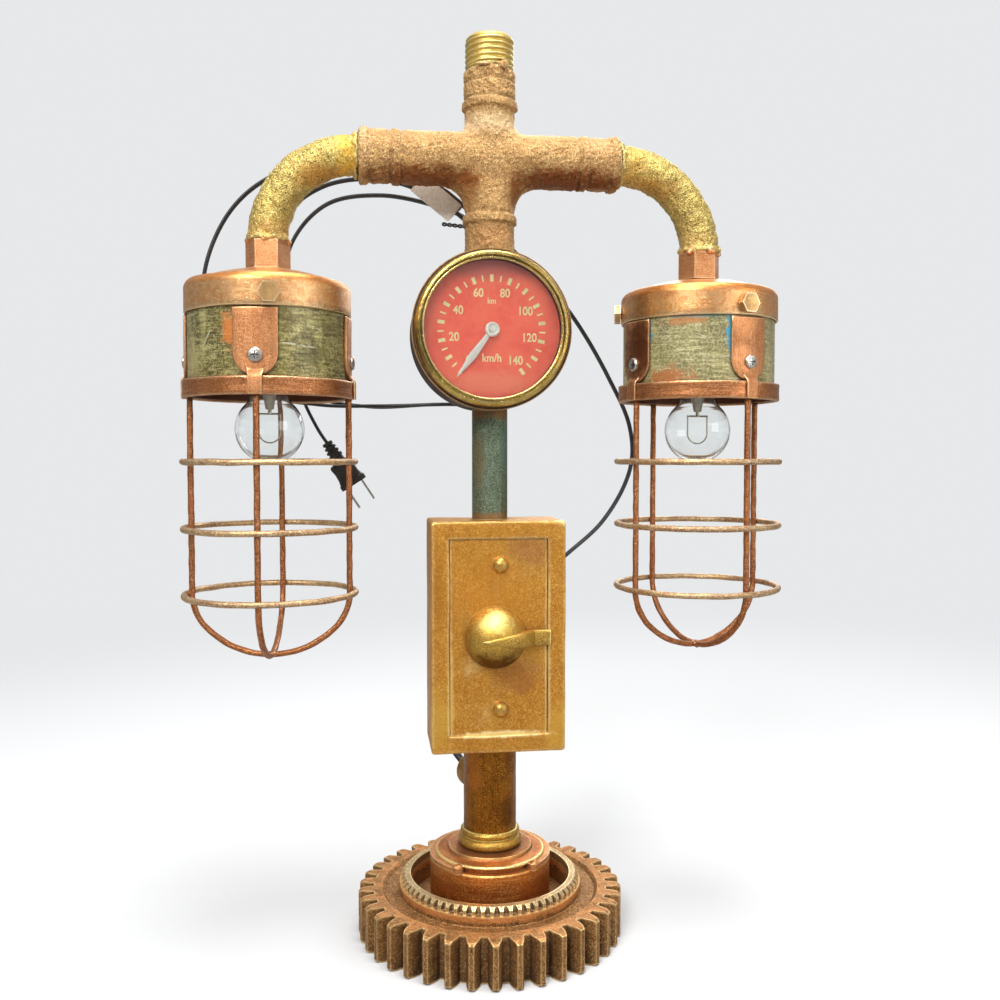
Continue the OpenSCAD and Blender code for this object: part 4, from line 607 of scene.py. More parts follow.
enamel, n = new_material("red enamel")
red = n.mix(n.step(n.noise(60, 4), 0.35, 0.7), "ff6a48", "fa5438")
red = n.over(red, "ff9670", n.step(n.noise(500, 5, 0.75), 0.45, 0.7), 0.3)
red = n.over(red, "fa926c", spot_mask(n, (-1.5, -23, 372), (30, 8, 9), 0.5, 160), 0.5)
# b0564a across the dial's top is a painted shadow of the bezel.
red = n.over(red, "b0564a", spot_mask(n, (-1.5, -23, 449), (44, 8, 11), 0.3, 60), 0.6)
finish_material(n, n.times(n.noise(1400, 2), 0.00001), 0.4, Base_Color=red, Roughness=0.42)
dress("gauge_dial", enamel)

cream, n = new_material("dial print")
finish_material(n, Base_Color=n.mix(n.noise(700, 2), "faeeb0", "ecd892"), Roughness=0.5)


def prisms(middle, along_way, across_way, length, width, depth):
    """Flat bars facing the front: eight corners each, from its middle, two unit directions and its three sizes."""
    corner = np.array([[a, b, c] for c in (-1, 1) for a, b in ((-1, -1), (1, -1), (1, 1), (-1, 1))]) / 2
    sizes = np.stack([length, width, np.broadcast_to(depth, np.shape(length))], axis=-1)[:, None, :] * corner
    points = (middle[:, None, :] + sizes[..., :1] * along_way[:, None, :] + sizes[..., 1:2] * across_way[:, None, :]
              + sizes[..., 2:] * front)
    faces = np.array([[3, 2, 1, 0], [4, 5, 6, 7], [0, 1, 5, 4], [1, 2, 6, 5], [2, 3, 7, 6], [3, 0, 4, 7]])
    return points.reshape(-1, 3), (faces + 8 * np.arange(len(points))[:, None, None]).reshape(-1, 4)


def triples(items, key):
    """Three numbers of each item of a mesh, as rows."""
    values = np.zeros(len(items) * 3, np.int32 if key == "vertices" else np.float32)
    items.foreach_get(key, values)
    return values.reshape(-1, 3)


def word(text, size):
    """The mesh of a short word in the built-in font, as points and its triangles, upright and facing the front."""
    curve = bpy.data.curves.new("word", "FONT")
    curve.body, curve.size, curve.align_x, curve.align_y = text, size, "CENTER", "CENTER"
    curve.extrude, curve.offset = 0.00004, 0.019 * size
    maker = bpy.data.objects.new("word", curve)
    mesh = bpy.data.meshes.new_from_object(maker)
    mesh.calc_loop_triangles()
    x, y, z = triples(mesh.vertices, "co").T
    faces = triples(mesh.loop_triangles, "vertices").astype(int)
    bpy.data.objects.remove(maker)
    bpy.data.meshes.remove(mesh)
    return xyz(0.86 * x, -z, y, 1), faces


print_front, pointer_front = -23.05, -25.24
dial_middle = xyz(gauge_centre[0], print_front, gauge_centre[1])
tick_turn = np.radians(np.linspace(-143.4, 143.4, 29))
tick_way = xyz(np.sin(tick_turn), 0, np.cos(tick_turn), 1)
tick_across = xyz(np.cos(tick_turn), 0, -np.sin(tick_turn), 1)
thick = np.arange(29) % 2 == 0
mark_points, mark_quads = prisms(dial_middle + 0.0335 * tick_way, tick_way, tick_across,
                                 np.where(thick, 0.0046, 0.0040), np.where(thick, 0.0023, 0.0010), 0.00008)
marks, triangles, total = [mark_points], [], len(mark_points)
number_turn = np.radians(np.linspace(-142, 142, 8))
labels = [(str(20 * i), 0.0078, (0.0252 * math.sin(a), 0.0252 * math.cos(a))) for i, a in enumerate(number_turn)]
for text, size, (right, up) in labels + [("km/h", 0.0074, (0.0, -0.0184)), ("km", 0.0054, (0.0, 0.0186))]:
    letter_points, letter_faces = word(text, size)
    marks.append(letter_points + dial_middle + np.array([right, 0, up]))
    triangles.append(letter_faces + total)
    total += len(letter_points)
dial_marks = mesh_piece("dial_marks", np.vstack(marks), mark_quads, np.vstack(triangles), cream,
                        sharp=30)

pointer_white, n = new_material("pointer white")
finish_material(n, n.times(n.noise(1500, 2), 0.00002), 0.5, Base_Color=n.mix(n.noise(300, 3), "f6f4e8", "d6d2c4"),
                Roughness=0.3, Metallic=0.3)
point_at = np.array([0.0, 0.2, 6, 12, 18, 21.4, 26, 31, 36, 38.1, 38.3])
point_half = np.interp(point_at, [0, 6, 21.4, 38.1, 38.3], [1.2, 1.5, 2.6, 0.35, 0.15])
point_rise = np.interp(point_at, [0, 21.4, 38.3], [0.34, 0.34, 0.2])
point_line = xyz(math.sin(tick_turn[0]) * point_at + gauge_centre[0], pointer_front,
                 math.cos(tick_turn[0]) * point_at + gauge_centre[1])
pointer = grid_piece("pointer_blade", along(point_line, ring_of(point_half, point_rise, 12, 1.6), front),
                     pointer_white, "needle", sharp=30)
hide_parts("gauge_needle")
hub_profile = [(0.4, -24.2), (4.6, -24.2), (4.8, -24.5), (4.8, -26.3), *arc_points(3.9, -26.4, 0.9, 0, -85, 5),
               (3.1, -27.2), (2.8, -26.8), (2.5, -26.8), (2.2, -27.3), (0.3, -27.4)]
grid_piece("pointer_hub", turned(hub_profile, gauge_centre, 48, "y"), pointer_white, "needle", sharp=50)


# ------------------------------
# Cross fitting: one rough sand casting in rose copper, with soft corners, cast rings and coarse pits. The places of
# its raised words are left bare. It is brazed to the gauge case.
arm_z = 521.5


def rings(at, bands):
    """Sum of smooth bands (low, high, rise): rise / 2 * (tanh((at - low) / 0.45) - tanh((at - high) / 0.45))."""
    return sum(rise / 2 * (np.tanh((at - low) / 0.45) - np.tanh((at - high) / 0.45)) for low, high, rise in bands)


def cross_form(p):
    """Distance from one soft form, in millimetres with the arm axis at z = 0: the smooth union of a neck and an arm.
    With a = |(x, y)| - neck radius(z), b = |(y, z)| - arm radius(x) and t = clip(1/2 + (b - a) / 2k, 0, 1), it is
    b + (a - b) t - k t (1 - t). k is 1.17 times the corner's fillet at the outline and falls to 2 mm at the front."""
    x, y, z = p.T
    neck = 16.5 + rings(z, [(-43, -37.4, 1.6), (32.4, 38, 1.8), (39.4, 49, 0.8), (50.6, 57, 0.6), (-45.2, -43.4, -0.7),
                            (-37, -35.2, -0.6), (30.4, 32, -0.7), (38.2, 39.4, -0.8), (49, 50.6, -0.8)])
    arm = 17.25 + rings(np.abs(x), [(60, 65.4, 0.7), (81.2, 87.5, 1.1), (58.2, 60, -1.1), (65.4, 67.4, -1),
                                    (79, 81, -0.5)])
    k = 2 + np.where(z < 0, 19.0, 6.0) * np.clip(1 - (y / 17) ** 2, 0, 1)
    a, b = np.hypot(x, y) - neck, np.hypot(y, z) - arm
    t = np.clip(0.5 + (b - a) / (2 * k), 0, 1)
    return b + (a - b) * t - k * t * (1 - t)


def cross_skin(points):
    """Moves the outer points of the fitting onto the form by six Newton steps, p - form * slope / slope^2."""
    wall, arm_end, neck_top, case_radius, small = 3.2, 86.4, 57, 53.2, 0.05
    p = points * 1000 - np.array([0, 0, arm_z])
    outer = (cross_form(p) > -wall) & (np.abs(p[:, 0]) < arm_end) & (p[:, 2] < neck_top)
    outer &= np.hypot(p[:, 0] - gauge_centre[0], p[:, 2] + arm_z - gauge_centre[1]) > case_radius
    moved = p[outer]
    for _ in range(6):
        here = cross_form(moved)
        slope = np.stack([(cross_form(moved + step) - here) / small for step in small * np.eye(3)], axis=-1)
        moved -= here[:, None] * slope / np.maximum((slope**2).sum(axis=1), 0.3)[:, None]
    p[outer] = moved
    return (p + np.array([0, 0, arm_z])) / 1000


# f0d0a4 and ffe6b4 along the arms' tops are a painted highlight of the light from above; 8c4814 and 824010 under the
# arms, and 965622 and 8c4e1e in the corners beneath them, are painted shade.
cross_metal = aged_metal("cross casting", "d2a66a 96642e f6dca4 ffeebc 4c2a0e", scale=40, reach=0.0016, skin=420,
    depth=0.0019, rough=(0.4, 0.62), metal=0.7, cloud=0.6, streak=0.15, grain=0.5, wear=0.4, dirt=0.9, bump=1,
    spots=[(0, -4, 541, 90, 22, 7, "f0d0a4", 0.6), (72, 0, 528, 17, 22, 16, "e2b480", 0.5),
    (-84, 0, 524, 6, 22, 20, "e8c496", 0.45), (-46, -10, 506, 46, 18, 9, "8c4814", 0.85),
    (52, -10, 507, 42, 18, 10, "824010", 0.9), (0, -16, 470, 20, 10, 12, "c6905c", 0.5),
    (0, -12, 545, 80, 20, 6, "ffe6b4", 0.4), (-16, -12, 500, 6, 16, 14, "965622", 0.6),
    (17, -12, 500, 6, 16, 14, "8c4e1e", 0.7)])
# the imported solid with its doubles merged, remeshed in cubes of 0.9 mm, smoothed, laid on the form and made lumpy
work = bmesh.new()
work.from_mesh(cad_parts["cross_fitting"].data)
bmesh.ops.remove_doubles(work, verts=work.verts, dist=1e-6)
solid = bpy.data.meshes.new("cross_casting")
work.to_mesh(solid)
work.free()
cross = link("cross_casting", solid)
cubes = cross.modifiers.new("cubes", "REMESH")
cubes.mode, cubes.voxel_size = "VOXEL", 0.0009
relax = cross.modifiers.new("relax", "SMOOTH")
relax.factor, relax.iterations = 0.5, 1
bpy.context.view_layer.update()
skin = bpy.data.meshes.new_from_object(cross.evaluated_get(bpy.context.evaluated_depsgraph_get()))
cross.modifiers.clear()
cross.data = skin
bpy.data.meshes.remove(solid)
points = cross_skin(triples(skin.vertices, "co").astype(float))
for size, scale, seed in ((0.0002, 90, 11), (0.00024, 330, 12), (0.00014, 560, 13)):
    points = lumpy(points, size, scale, seed)
skin.vertices.foreach_set("co", points.ravel())
skin.polygons.foreach_set("use_smooth", np.ones(len(skin.polygons), bool))
skin.materials.clear()
skin.materials.append(cross_metal)
skin.update()
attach(cross, "frame")
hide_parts("cross_fitting")


# ------------------------------
# Top stub: a bright brass pipe plug with a right-hand thread, tack-welded into the neck at the front with one blob
# and a flat smear.
stub_brass = aged_metal("stub brass", "ecd06e be923e fcf09c fffcc4 543612", depth=0.0002, rough=(0.26, 0.44),
    metal=0.9, dirt=0.85, spots=[(8, -14, 580, 4, 5, 4, "d8a064", 0.8)])
stub_z = np.concatenate([[579.02], np.arange(579.1, 601.6, 0.3), [601.9]])
stub_turn = np.linspace(0, 2 * np.pi, 96, endpoint=False)
stub_radius, stub_pitch, stub_depth = 16.3, 3.6, 1.25
phase = ((stub_z[:, None] - 579) / stub_pitch - stub_turn / (2 * np.pi)) % 1
thread = stub_depth * np.clip(1.25 - 3.6 * np.abs(phase - 0.5), 0, 1)
inside = np.interp(stub_z, [579, 580.6, 581.4, 598.6, 600.4, 602], [1.6, 1.2, 0, 0, 0.8, 2.6])[:, None]
depth_of = np.interp(stub_z, [579, 581, 582, 598, 599.5, 602], [0, 0, 1, 1, 0, 0])[:, None]
radius = stub_radius - inside - (stub_depth - thread) * depth_of
stub_grid = xyz(radius * np.cos(stub_turn), radius * np.sin(stub_turn), stub_z[:, None])
stub = grid_piece("stub_thread", lumpy(stub_grid, 0.00005, 150, 21), stub_brass, sharp=60)
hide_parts("top_stub")
grid_piece("stub_weld", [blob((0.0068, -0.0155, 0.5795), (0.0038, 0.0026, 0.0028), 31),
                         blob((-0.0048, -0.0158, 0.5793), (0.0062, 0.0016, 0.0012), 32)], cross_metal)


# ------------------------------
# Elbows: bent steel pipe under rough yellow-gold paint, brazed into the cross with a fat bead and onto the head
# nipples with a thinner one that has run down in drips.
elbow_paint = aged_metal("elbow patina", "ceb05c 705622 f8e896 fff6b2 2e220c", scale=52, reach=0.0018, skin=340,
    depth=0.0012, rough=(0.38, 0.6), metal=0.7, streak=0.2, grain=0.7, dirt=0.9, bump=1,
    spots=[(-142, 0, 470, 20, 20, 9, "ce9656", 0.5), (142, 0, 470, 20, 20, 9, "d8b470", 0.5),
    (-95, 0, 522, 9, 20, 22, "f0bc3c", 0.6), (98, 0, 520, 10, 20, 22, "ce9c48", 0.6),
    (-112, -8, 505, 18, 12, 8, "be7828", 0.5), (112, -8, 504, 18, 12, 8, "b0782e", 0.5)])
nipple_copper = aged_metal("nipple copper", "da9c68 aa6838 f4c08e ffd6a6 4c2a12", reach=0.0014, skin=600,
    lines=((60, 60, 900), 0.3))
dress("head_nipples", nipple_copper)
head_x, bend = 146.0, 57
bend_turn = np.radians(np.linspace(0, 90, 110))
elbow_x = np.concatenate([np.linspace(79, 88.6, 14), head_x - bend + bend * np.sin(bend_turn), [head_x, head_x]])
elbow_z = np.concatenate([np.full(14, arm_z), arm_z - bend * (1 - np.cos(bend_turn)), [464.1, 463.5]])
pipe_around = np.linspace(0, 2 * np.pi, 64, endpoint=False)
# each side with its seed and its drips: degrees from the front, width and height in millimetres
for side, name, seed, drops in ((-1, "left", 41, ((-82, 2.3, 2.2), (86, 2.5, 2.0), (-8, 1.5, 1.3))),
                                (1, "right", 47, ((-46, 2.9, 2.6), (20, 3.0, 2.6), (84, 2.4, 2.2)))):
    line = xyz(side * elbow_x, 0, elbow_z)
    run = np.concatenate([[0], np.cumsum(np.linalg.norm(np.diff(line, axis=0), axis=1))])[:, None] * 1000
    wobble = np.sin(9 * pipe_around + seed) + 0.6 * np.sin(17 * pipe_around + 2 * seed)
    fat = 2.1 * np.exp(-((run - 9.6 - 0.35 * wobble) / 1.7) ** 4) * (1 + 0.12 * wobble)
    low = 0.5 * np.clip(wobble, 0, 2)
    drip = 1.5 * np.exp(-((run - run[-1] + 1.2 + low) / (1.5 + low)) ** 2)
    size = np.clip(13.0 + fat + drip * (1 + 0.2 * wobble), 0, 15.3) / 1000
    section = np.stack([size * np.cos(pipe_around), size * np.sin(pipe_around)], axis=-1)
    skin = lumpy(lumpy(along(line, section, front), 0.0003, 120, seed), 0.00024, 360, seed + 1)
    elbow = grid_piece(f"elbow_{name}_pipe", skin, elbow_paint)
    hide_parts(f"elbow_{name}")
    grid_piece(f"elbow_{name}_weld", [
        blob((head_x / 1000 * side + 0.0128 * math.sin(math.radians(t)), -0.0128 * math.cos(math.radians(t)), 0.4634),
             (wide / 1000, wide / 1000, tall / 1000), seed + i) for i, (t, wide, tall) in enumerate(drops)],
        nipple_copper)


# ------------------------------
# Lamp caps: spun copper-toned caps over the barrels, brushed around, with rubbed shoulders and a few small dents.
# Three hexagon bolts hold each one.
# f0b472 and f0b674 over each dome's top are a painted highlight of the light from above.
cap_copper = aged_metal("cap copper", "e08c44 a65c26 f4bc7a ffdea8 502a12", scale=34, reach=0.0018, depth=0.0002,
    rough=(0.28, 0.48), metal=0.93, speck=0.35, grain=0.4, lines=((70, 70, 1500), 0.32),
    spots=[(-146, 0, 442, 60, 60, 4.5, "f0b472", 0.5), (146, 0, 442, 60, 60, 4.5, "f0b674", 0.5),
    (-172, -40, 421, 16, 14, 7, "ce7a28", 0.6), (112, -38, 421, 22, 16, 8, "e09436", 0.6),
    (-118, -40, 417, 20, 14, 3, "7c421e", 0.6), (160, -48, 418, 16, 12, 3, "7c421e", 0.6)])
dome_r = np.array([49.0, 46.0, 42.0, 36.0, 29.0, 22.0, 15.0, 10.0, 6.0])
cap_profile = [
    (52.7, 415.0), (53.3, 415.3), *[(53.5, z) for z in (416, 419, 424, 429)], *arc_points(47.5, 430.6, 6, 0, 60, 9),
    *np.stack([dome_r, 319.75 + np.sqrt(125.25**2 - dome_r**2)], axis=-1), (5.2, 444.8), (5.2, 443.2), (20, 441.9),
    (36, 438), (47, 434.4), *arc_points(47.3, 430.2, 4.6, 55, 0, 4), (51.9, 419), (52.0, 415.3), (52.7, 415.0)]
for side, name, seed in ((-1, "left", 51), (1, "right", 57)):
    cap = grid_piece(f"cap_{name}_spun", lumpy(turned(cap_profile, (side * head_x, 0), 144), 0.00022, 22, seed),
                     cap_copper, ends=False, sharp=60)
    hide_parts(f"cap_{name}")
dress("cap_bolts", aged_metal("bolt brass", "d6aa6e 966a3c f2d49e ffeec4 3c2410", scale=90, reach=0.0009, skin=800,
    depth=0.0001))


# ------------------------------
# Barrels: steel tubes under old olive paint, with orange rust, dark smudges, pale scratches and teal edges on the
# right one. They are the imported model's own shape.
def barrel_paint(name, colours, middle, stains, scratches):
    """Old paint on steel: clouds of three greens, down-running streaks, stains, thin scratches and bare rims. Inside,
    under 51 mm from the axis at x = middle, it is bare brown copper."""
    material, n = new_material(name)
    main, dark, light = colours.split()
    marks = use(n, patina, Scale=26)
    rubbed = use(n, worn_edges, Reach=0.001)
    cast = use(n, cast_skin, Scale=520)
    colour = n.over(main, dark, marks["Cloud"], 0.8)
    broad = n.noise(1, 3, 0.6, where=n.place(scale=(60, 60, 14)))
    colour = n.over(colour, light, n.step(broad, 0.46, 0.7), 0.6)
    colour = n.over(colour, dark, marks["Streak"], 0.5)
    colour = n.over(colour, light, marks["Speck"], 0.35)
    brushed = n.noise(1, 4, 0.75, where=n.place(scale=(70, 70, 760)))
    colour = n.over(colour, light, n.step(brushed, 0.5, 0.64), 0.6)
    colour = n.over(colour, dark, n.step(brushed, 0.49, 0.34), 0.7)
    colour = n.over(colour, light, marks["Grain"], 0.4, clamp=True)
    colour = n.over(colour, dark, marks["Grain"], -0.4, clamp=True)
    for *where, patch_tone, strength in stains:
        colour = n.over(colour, patch_tone, spot_mask(n, where[:3], where[3:], 1.3, 170), strength)
    for centre, size, turn in scratches:
        reach = n.length(n.add("Mapping", {"vector_type": "TEXTURE"}, Vector=n.place(),
                               Location=tuple(np.array(centre) / 1000), Rotation=(0, math.radians(turn), 0),
                               Scale=tuple(np.array(size) / 1000)).outputs[0])
        thin = n.times(n.step(reach, 1, 0.7), n.step(n.noise(300), 0.4, 0.55))
        colour = n.over(colour, "c4c4aa", thin, 0.8)
    reach = n.length(n.place(scale=(1000 / 51, 1000 / 51, 0), shift=(-middle / 51, 0, 0)))
    colour = n.mix(n.step(reach, 0.998, 0.99), colour, "68381c")
    colour = n.over(colour, "262012", rubbed["Crevice"], 0.75)
    colour = n.over(colour, "b6b08c", rubbed["Edge"], 0.6)
    finish_material(n, n.times(cast["Height"], 0.00022), 0.8, Base_Color=colour, Metallic=0.25,
                    Roughness=n.level(marks["Cloud"], 0.34, 0.5), Coat_Weight=0.25, Coat_Roughness=0.3)
    return material


dress("barrel_left", barrel_paint(
    "left barrel paint", "867a3c 3a2e0c ccc282", -146,
    [(-163, -48, 402, 8, 14, 13, "d67a30", 0.85), (-116, -42, 388, 12, 16, 14, "423812", 0.6),
     (-190, -24, 384, 12, 16, 12, "baae70", 0.5), (-104, -30, 404, 10, 20, 8, "463a14", 0.5),
     (-130, -48, 408, 14, 14, 5, "5a4c1e", 0.5)],
    [((-124, -46, 392), (13, 30, 0.6), 6), ((-180, -40, 396), (7, 30, 0.5), -62),
     ((-116, -42, 404), (7, 30, 0.4), 20)]))
dress("barrel_right", barrel_paint(
    "right barrel paint", "aaa068 605a32 dad0a0", 146,
    [(112, -40, 376, 18, 12, 7, "b06834", 0.85), (122, -45, 412, 14, 12, 4, "be7438", 0.7),
     (101.5, -26, 404, 3.2, 8, 15, "469cb8", 1), (150.6, -51, 404, 3, 8, 15, "469cb8", 1),
     (128, -48, 414.5, 26, 12, 1.4, "548c8c", 0.6), (166, -48, 412, 10, 12, 4, "a06838", 0.5)],
    [((136, -50, 399), (9, 30, 0.4), 30), ((146, -50, 388), (12, 30, 0.35), -8)]))


# ------------------------------
# Bands and tabs: a rolled copper band stands around each barrel's lower rim. Four flat tabs with half-round lower
# ends are screwed to the barrel, and the neck of each one runs down over the band to its cage bar.
band_copper = aged_metal("band copper", "c27a46 7c4220 e8ac7a ffe2b4 361c0c", scale=42, reach=0.0018, skin=600,
    depth=0.00024, metal=0.9, streak=0.4, grain=0.4, wear=1, lines=((60, 60, 1300), 0.35))
band_profile = [(51.6, 361.7), (52.2, 361.05), (53.6, 361.0), (54.6, 361.25), (55.0, 362.0), (54.8, 364), (54.75, 367),
                (54.8, 370), (55.0, 371.4), (54.7, 372.3), (53.9, 372.5), (52.4, 372.5), (51.7, 372.1), (51.6, 367),
                (51.6, 361.7)]
for side, name, seed in ((-1, "left", 61), (1, "right", 67)):
    band = grid_piece(f"band_{name}", lumpy(turned(band_profile, (side * head_x, 0), 144), 0.00009, 40, seed),
                      band_copper, ends=False, sharp=60)
    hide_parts("cage_bands")

tab_copper = aged_metal("tab copper", "d08c5a 945830 eeb482 ffd6a6 40220e", scale=52, skin=620, depth=0.00024,
    rough=(0.34, 0.54), metal=0.88, speck=0.4, grain=0.4, lines=((700, 700, 60), 0.3),
    spots=[(100, -20, 394, 16, 22, 26, "622e0e", 0.75), (-199, 0, 394, 8, 24, 26, "e2b8a0", 0.5)])


def around_head(local, side, turns):
    """Copies of a grid around a head's axis: x = x cos t - y sin t, y = x sin t + y cos t, then moved to the head."""
    x, y, z = np.moveaxis(local * 1000, -1, 0)
    return [xyz(x * math.cos(t) - y * math.sin(t) + side * head_x, x * math.sin(t) + y * math.cos(t), z)
            for t in np.radians(turns)]


def tab_rings(inset, depth):
    """Outlines of a tab, moved in by inset and at a radius depth: straight top and sides and a half-round lower end,
    measured along the barrel and bent around it by angle = across / radius."""
    half, low, high = 13.75 - inset[:, None], 386.35, 414.0 - inset[:, None]
    swing = np.radians(np.linspace(180, 360, 26))[None, :]
    rise, across = np.linspace(0, 1, 8)[None, 1:-1], np.linspace(1, -1, 12)[None, :]
    flat_a = np.hstack([half * np.cos(swing), half + 0 * rise, half * across, -half + 0 * rise])
    flat_z = np.hstack([low + half * np.sin(swing), low + (high - low) * rise, high + 0 * across,
                        high - (high - low) * rise])
    depth, turn = depth[:, None], flat_a / 52.7
    return xyz(depth * np.sin(turn), -depth * np.cos(turn), flat_z)


tab_grid = tab_rings(np.array([12.5, 5, 0.8, 0.15, 0, 0, 0.15, 0.6, 1.2, 5, 12.5]),
                     np.array([51.7, 51.7, 51.7, 51.8, 52.0, 53.2, 53.5, 53.68, 53.7, 53.7, 53.7]))
neck_line = np.array([(52.9, 379), (53.0, 376.6), (53.6, 375.0), (54.9, 373.9), (55.6, 372.9), (55.75, 371),
                      (55.76, 366), (55.76, 361.6), (55.7, 361.2)])
neck_path = xyz(0, -neck_line[:, 0], neck_line[:, 1])
neck_half = np.interp(neck_line[:, 1], [361.2, 361.6, 372, 379], [3.6, 4.25, 4.25, 6.0])
neck_grid = along(neck_path, ring_of(neck_half, 0.68, 24, 0.4), np.array([0.0, -1.0, 0.2]))
tab_turns = {-1: -3.7 + 90 * np.arange(4), 1: 19.8 + 90 * np.arange(4)}
for name, grid in (("cage_tab_plates", lumpy(tab_grid, 0.00008, 60, 71)), ("cage_tab_necks", neck_grid)):
    copies = [copy for side in tab_turns for copy in around_head(grid, side, tab_turns[side])]
    tabs = grid_piece(name, copies, tab_copper)
    if name == "cage_tab_plates":
        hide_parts("cage_tabs")
dress("tab_screws", aged_metal("screw nickel", "cec6bc 968a7e e6e0d6 faf6f0 0e0806", scale=120, reach=0.0006,
    skin=900, depth=0.00006, rough=(0.24, 0.44), metal=0.95, dirt=1))


# ------------------------------
# Cages: two hoops of copper-toned wire cross under each bulb, and three paler rings are welded around them. The wire
# is dark in its hollows and rubbed bare in places, with a small lump of weld at each crossing.
wire_copper = aged_metal("cage wire", "b86c3c 6a3418 ecb07a ffe2b4 2e180c", scale=46, reach=0.001, skin=520,
    depth=0.0004, rough=(0.32, 0.52), metal=0.86, speck=0.6, grain=0.6, dirt=0.85)
ring_brass = aged_metal("cage ring wire", "d6b07c 8a5e3e fae8c0 fff4d8 3c2414", scale=30, reach=0.001, skin=520,
    depth=0.0004, rough=(0.34, 0.54), metal=0.8, cloud=0.8, streak=0.5, grain=0.5, dirt=0.8)
wire_radius, bar_radius, ring_radius = 2, 51.6, 55.45
arc_small = np.radians(np.linspace(0, -43.45, 22)[1:])
arc_large = np.radians(np.linspace(-43.45, -90, 26)[1:])
half_r = np.concatenate([np.full(46, bar_radius), 18.6 + 33 * np.cos(arc_small), 58.62 * np.cos(arc_large)])
half_z = np.concatenate([np.linspace(362, 233, 46), 233 + 33 * np.sin(arc_small), 250.62 + 58.62 * np.sin(arc_large)])
hoop_line = xyz(np.concatenate([half_r, -half_r[-2::-1]]), 0, np.concatenate([half_z, half_z[-2::-1]]))
hoop_grid = along(hoop_line, ring_of(wire_radius, wire_radius, 16), np.array([0.0, 1.0, 0.0]))
ring_grid = turned([(ring_radius + wire_radius * math.cos(a), wire_radius * math.sin(a))
                    for a in np.linspace(0, 2 * np.pi, 17)], (0, 0), 160)
ring_levels = (0.320, 0.2765, 0.233)
for side, name, seed in ((-1, "left", 81), (1, "right", 87)):
    turns, head = tab_turns[side], np.array([side * head_x / 1000, 0, 0])
    hoops = [lumpy(g, 0.00012, 110, seed + k) for k, g in enumerate(around_head(hoop_grid, side, turns[:2] - 90))]
    hoops = grid_piece(f"cage_hoop_wires_{name}", hoops, wire_copper)
    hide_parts(f"cage_hoops_{name}")
    for k, level in enumerate(ring_levels):
        ring = lumpy(ring_grid + head + np.array([0, 0, level]), 0.00014, 60, seed + 3 + k)
        ring = grid_piece(f"cage_ring_{name}_{k + 1}", ring, ring_brass, ends=False)
        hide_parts("cage_rings")
    crossings = [(t, level) for t in np.radians(turns) for level in ring_levels]
    welds = [blob((0.0536 * math.sin(t), -0.0536 * math.cos(t), level), (0.0019, 0.0019, 0.0017), seed + i)
             for i, (t, level) in enumerate(crossings)]
    welds.append(blob((0, 0, 0.192), (0.0034, 0.0034, 0.0026), seed))
    grid_piece(f"cage_welds_{name}", [w + head for w in welds], wire_copper)


# ------------------------------
# Bulbs and sockets: clear 45 mm globe bulbs with a wire filament, screwed into glazed lampholders inside the
# barrels. Each bulb turns out of its socket and drops at the same time.
bulb_profile = [
    *arc_points(0, 341.5, 22.5, -89, 50, 40), (13.4, 360.6), (12.9, 362.4), (12.72, 364.5), (12.7, 368), (12.7, 376),
    (12.4, 380.6), (11.5, 381.3), (11.3, 380.4), (11.9, 376), (11.9, 368), (11.95, 364.3), (12.2, 362.0), (12.7, 360.2),
    *arc_points(0, 341.5, 21.7, 50, -89, 40)]
bulb_brass = aged_metal("bulb cap brass", "ba985c 8c6c3e d4b680 ead2a0 46321a", scale=80, skin=500, depth=0.00005,
    rough=(0.25, 0.4))
filament_metal, n = new_material("filament wire")
finish_material(n, Base_Color=n.mix(n.noise(400, 2), "cec4b0", "a09480"), Roughness=0.3, Metallic=0.6)
porcelain, n = new_material("porcelain")
finish_material(n, Base_Color=n.mix(n.step(n.noise(30, 4), 0.4, 0.7), "e4ded0", "c4baa6"), Roughness=0.22)
dress("lamp_sockets", porcelain)
dress("socket_contacts bulb_cap_left bulb_cap_right", bulb_brass)
dress("filament_left filament_right", filament_metal)
for side, name in ((-1, "left"), (1, "right")):
    globe = grid_piece(f"bulb_globe_{name}", turned(bulb_profile, (side * head_x, 0), 72), glass,
                       f"bulb_{name}")
    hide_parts(f"bulb_glass_{name}")


# ------------------------------
# Twist tie and tag: a flat black tie holds the three strands together behind the cross, and a blank white paper tag
# is folded around one strand in front of them.
tie_black = plain_plastic("tie plastic", (0.02, 0.02, 0.02), (0.07, 0.07, 0.07), 0.5)
tie_turn = math.radians(40)
tie_x, tie_y = np.array([math.cos(tie_turn), 0, -math.sin(tie_turn)]), np.array([0, 1.0, 0])
tie_z, tie_loop = np.array([math.sin(tie_turn), 0, math.cos(tie_turn)]), ring_of(7.7, 7.2, 48, 0.62)
tie_line = np.array([-0.008, 0.0244, 0.486]) + tie_loop[:, :1] * tie_y + tie_loop[:, 1:] * tie_z
outward = tie_loop[:, :1] / 0.0077 * tie_y + tie_loop[:, 1:] / 0.0072 * tie_z
strap = np.stack([tie_line + w * tie_x + t * outward for w, t in
                  ((-0.0018, -0.0002), (0.0018, -0.0002), (0.0018, 0.0002), (-0.0018, 0.0002))], axis=1)
tie = grid_piece("cord_tie_strap", np.concatenate([strap, strap[:1]]), tie_black, ends=False,
                 sharp=40)
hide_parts("cord_tie")
tail_s = np.linspace(0, 1, 40)[:, None]
for k in (0, 1):
    twist = 5 * np.pi * tail_s[:, 0] + k * np.pi
    tail_line = np.array([-0.0125, 0.0176, 0.4812]) + 0.019 * tail_s * np.array([-0.95, 0, 0.08])
    tail_line += 0.8 * xyz(0, np.cos(twist), np.sin(twist))
    grid_piece(f"cord_tie_tail_{k + 1}", along(tail_line, ring_of(0.7, 0.4, 12), front), tie_black)
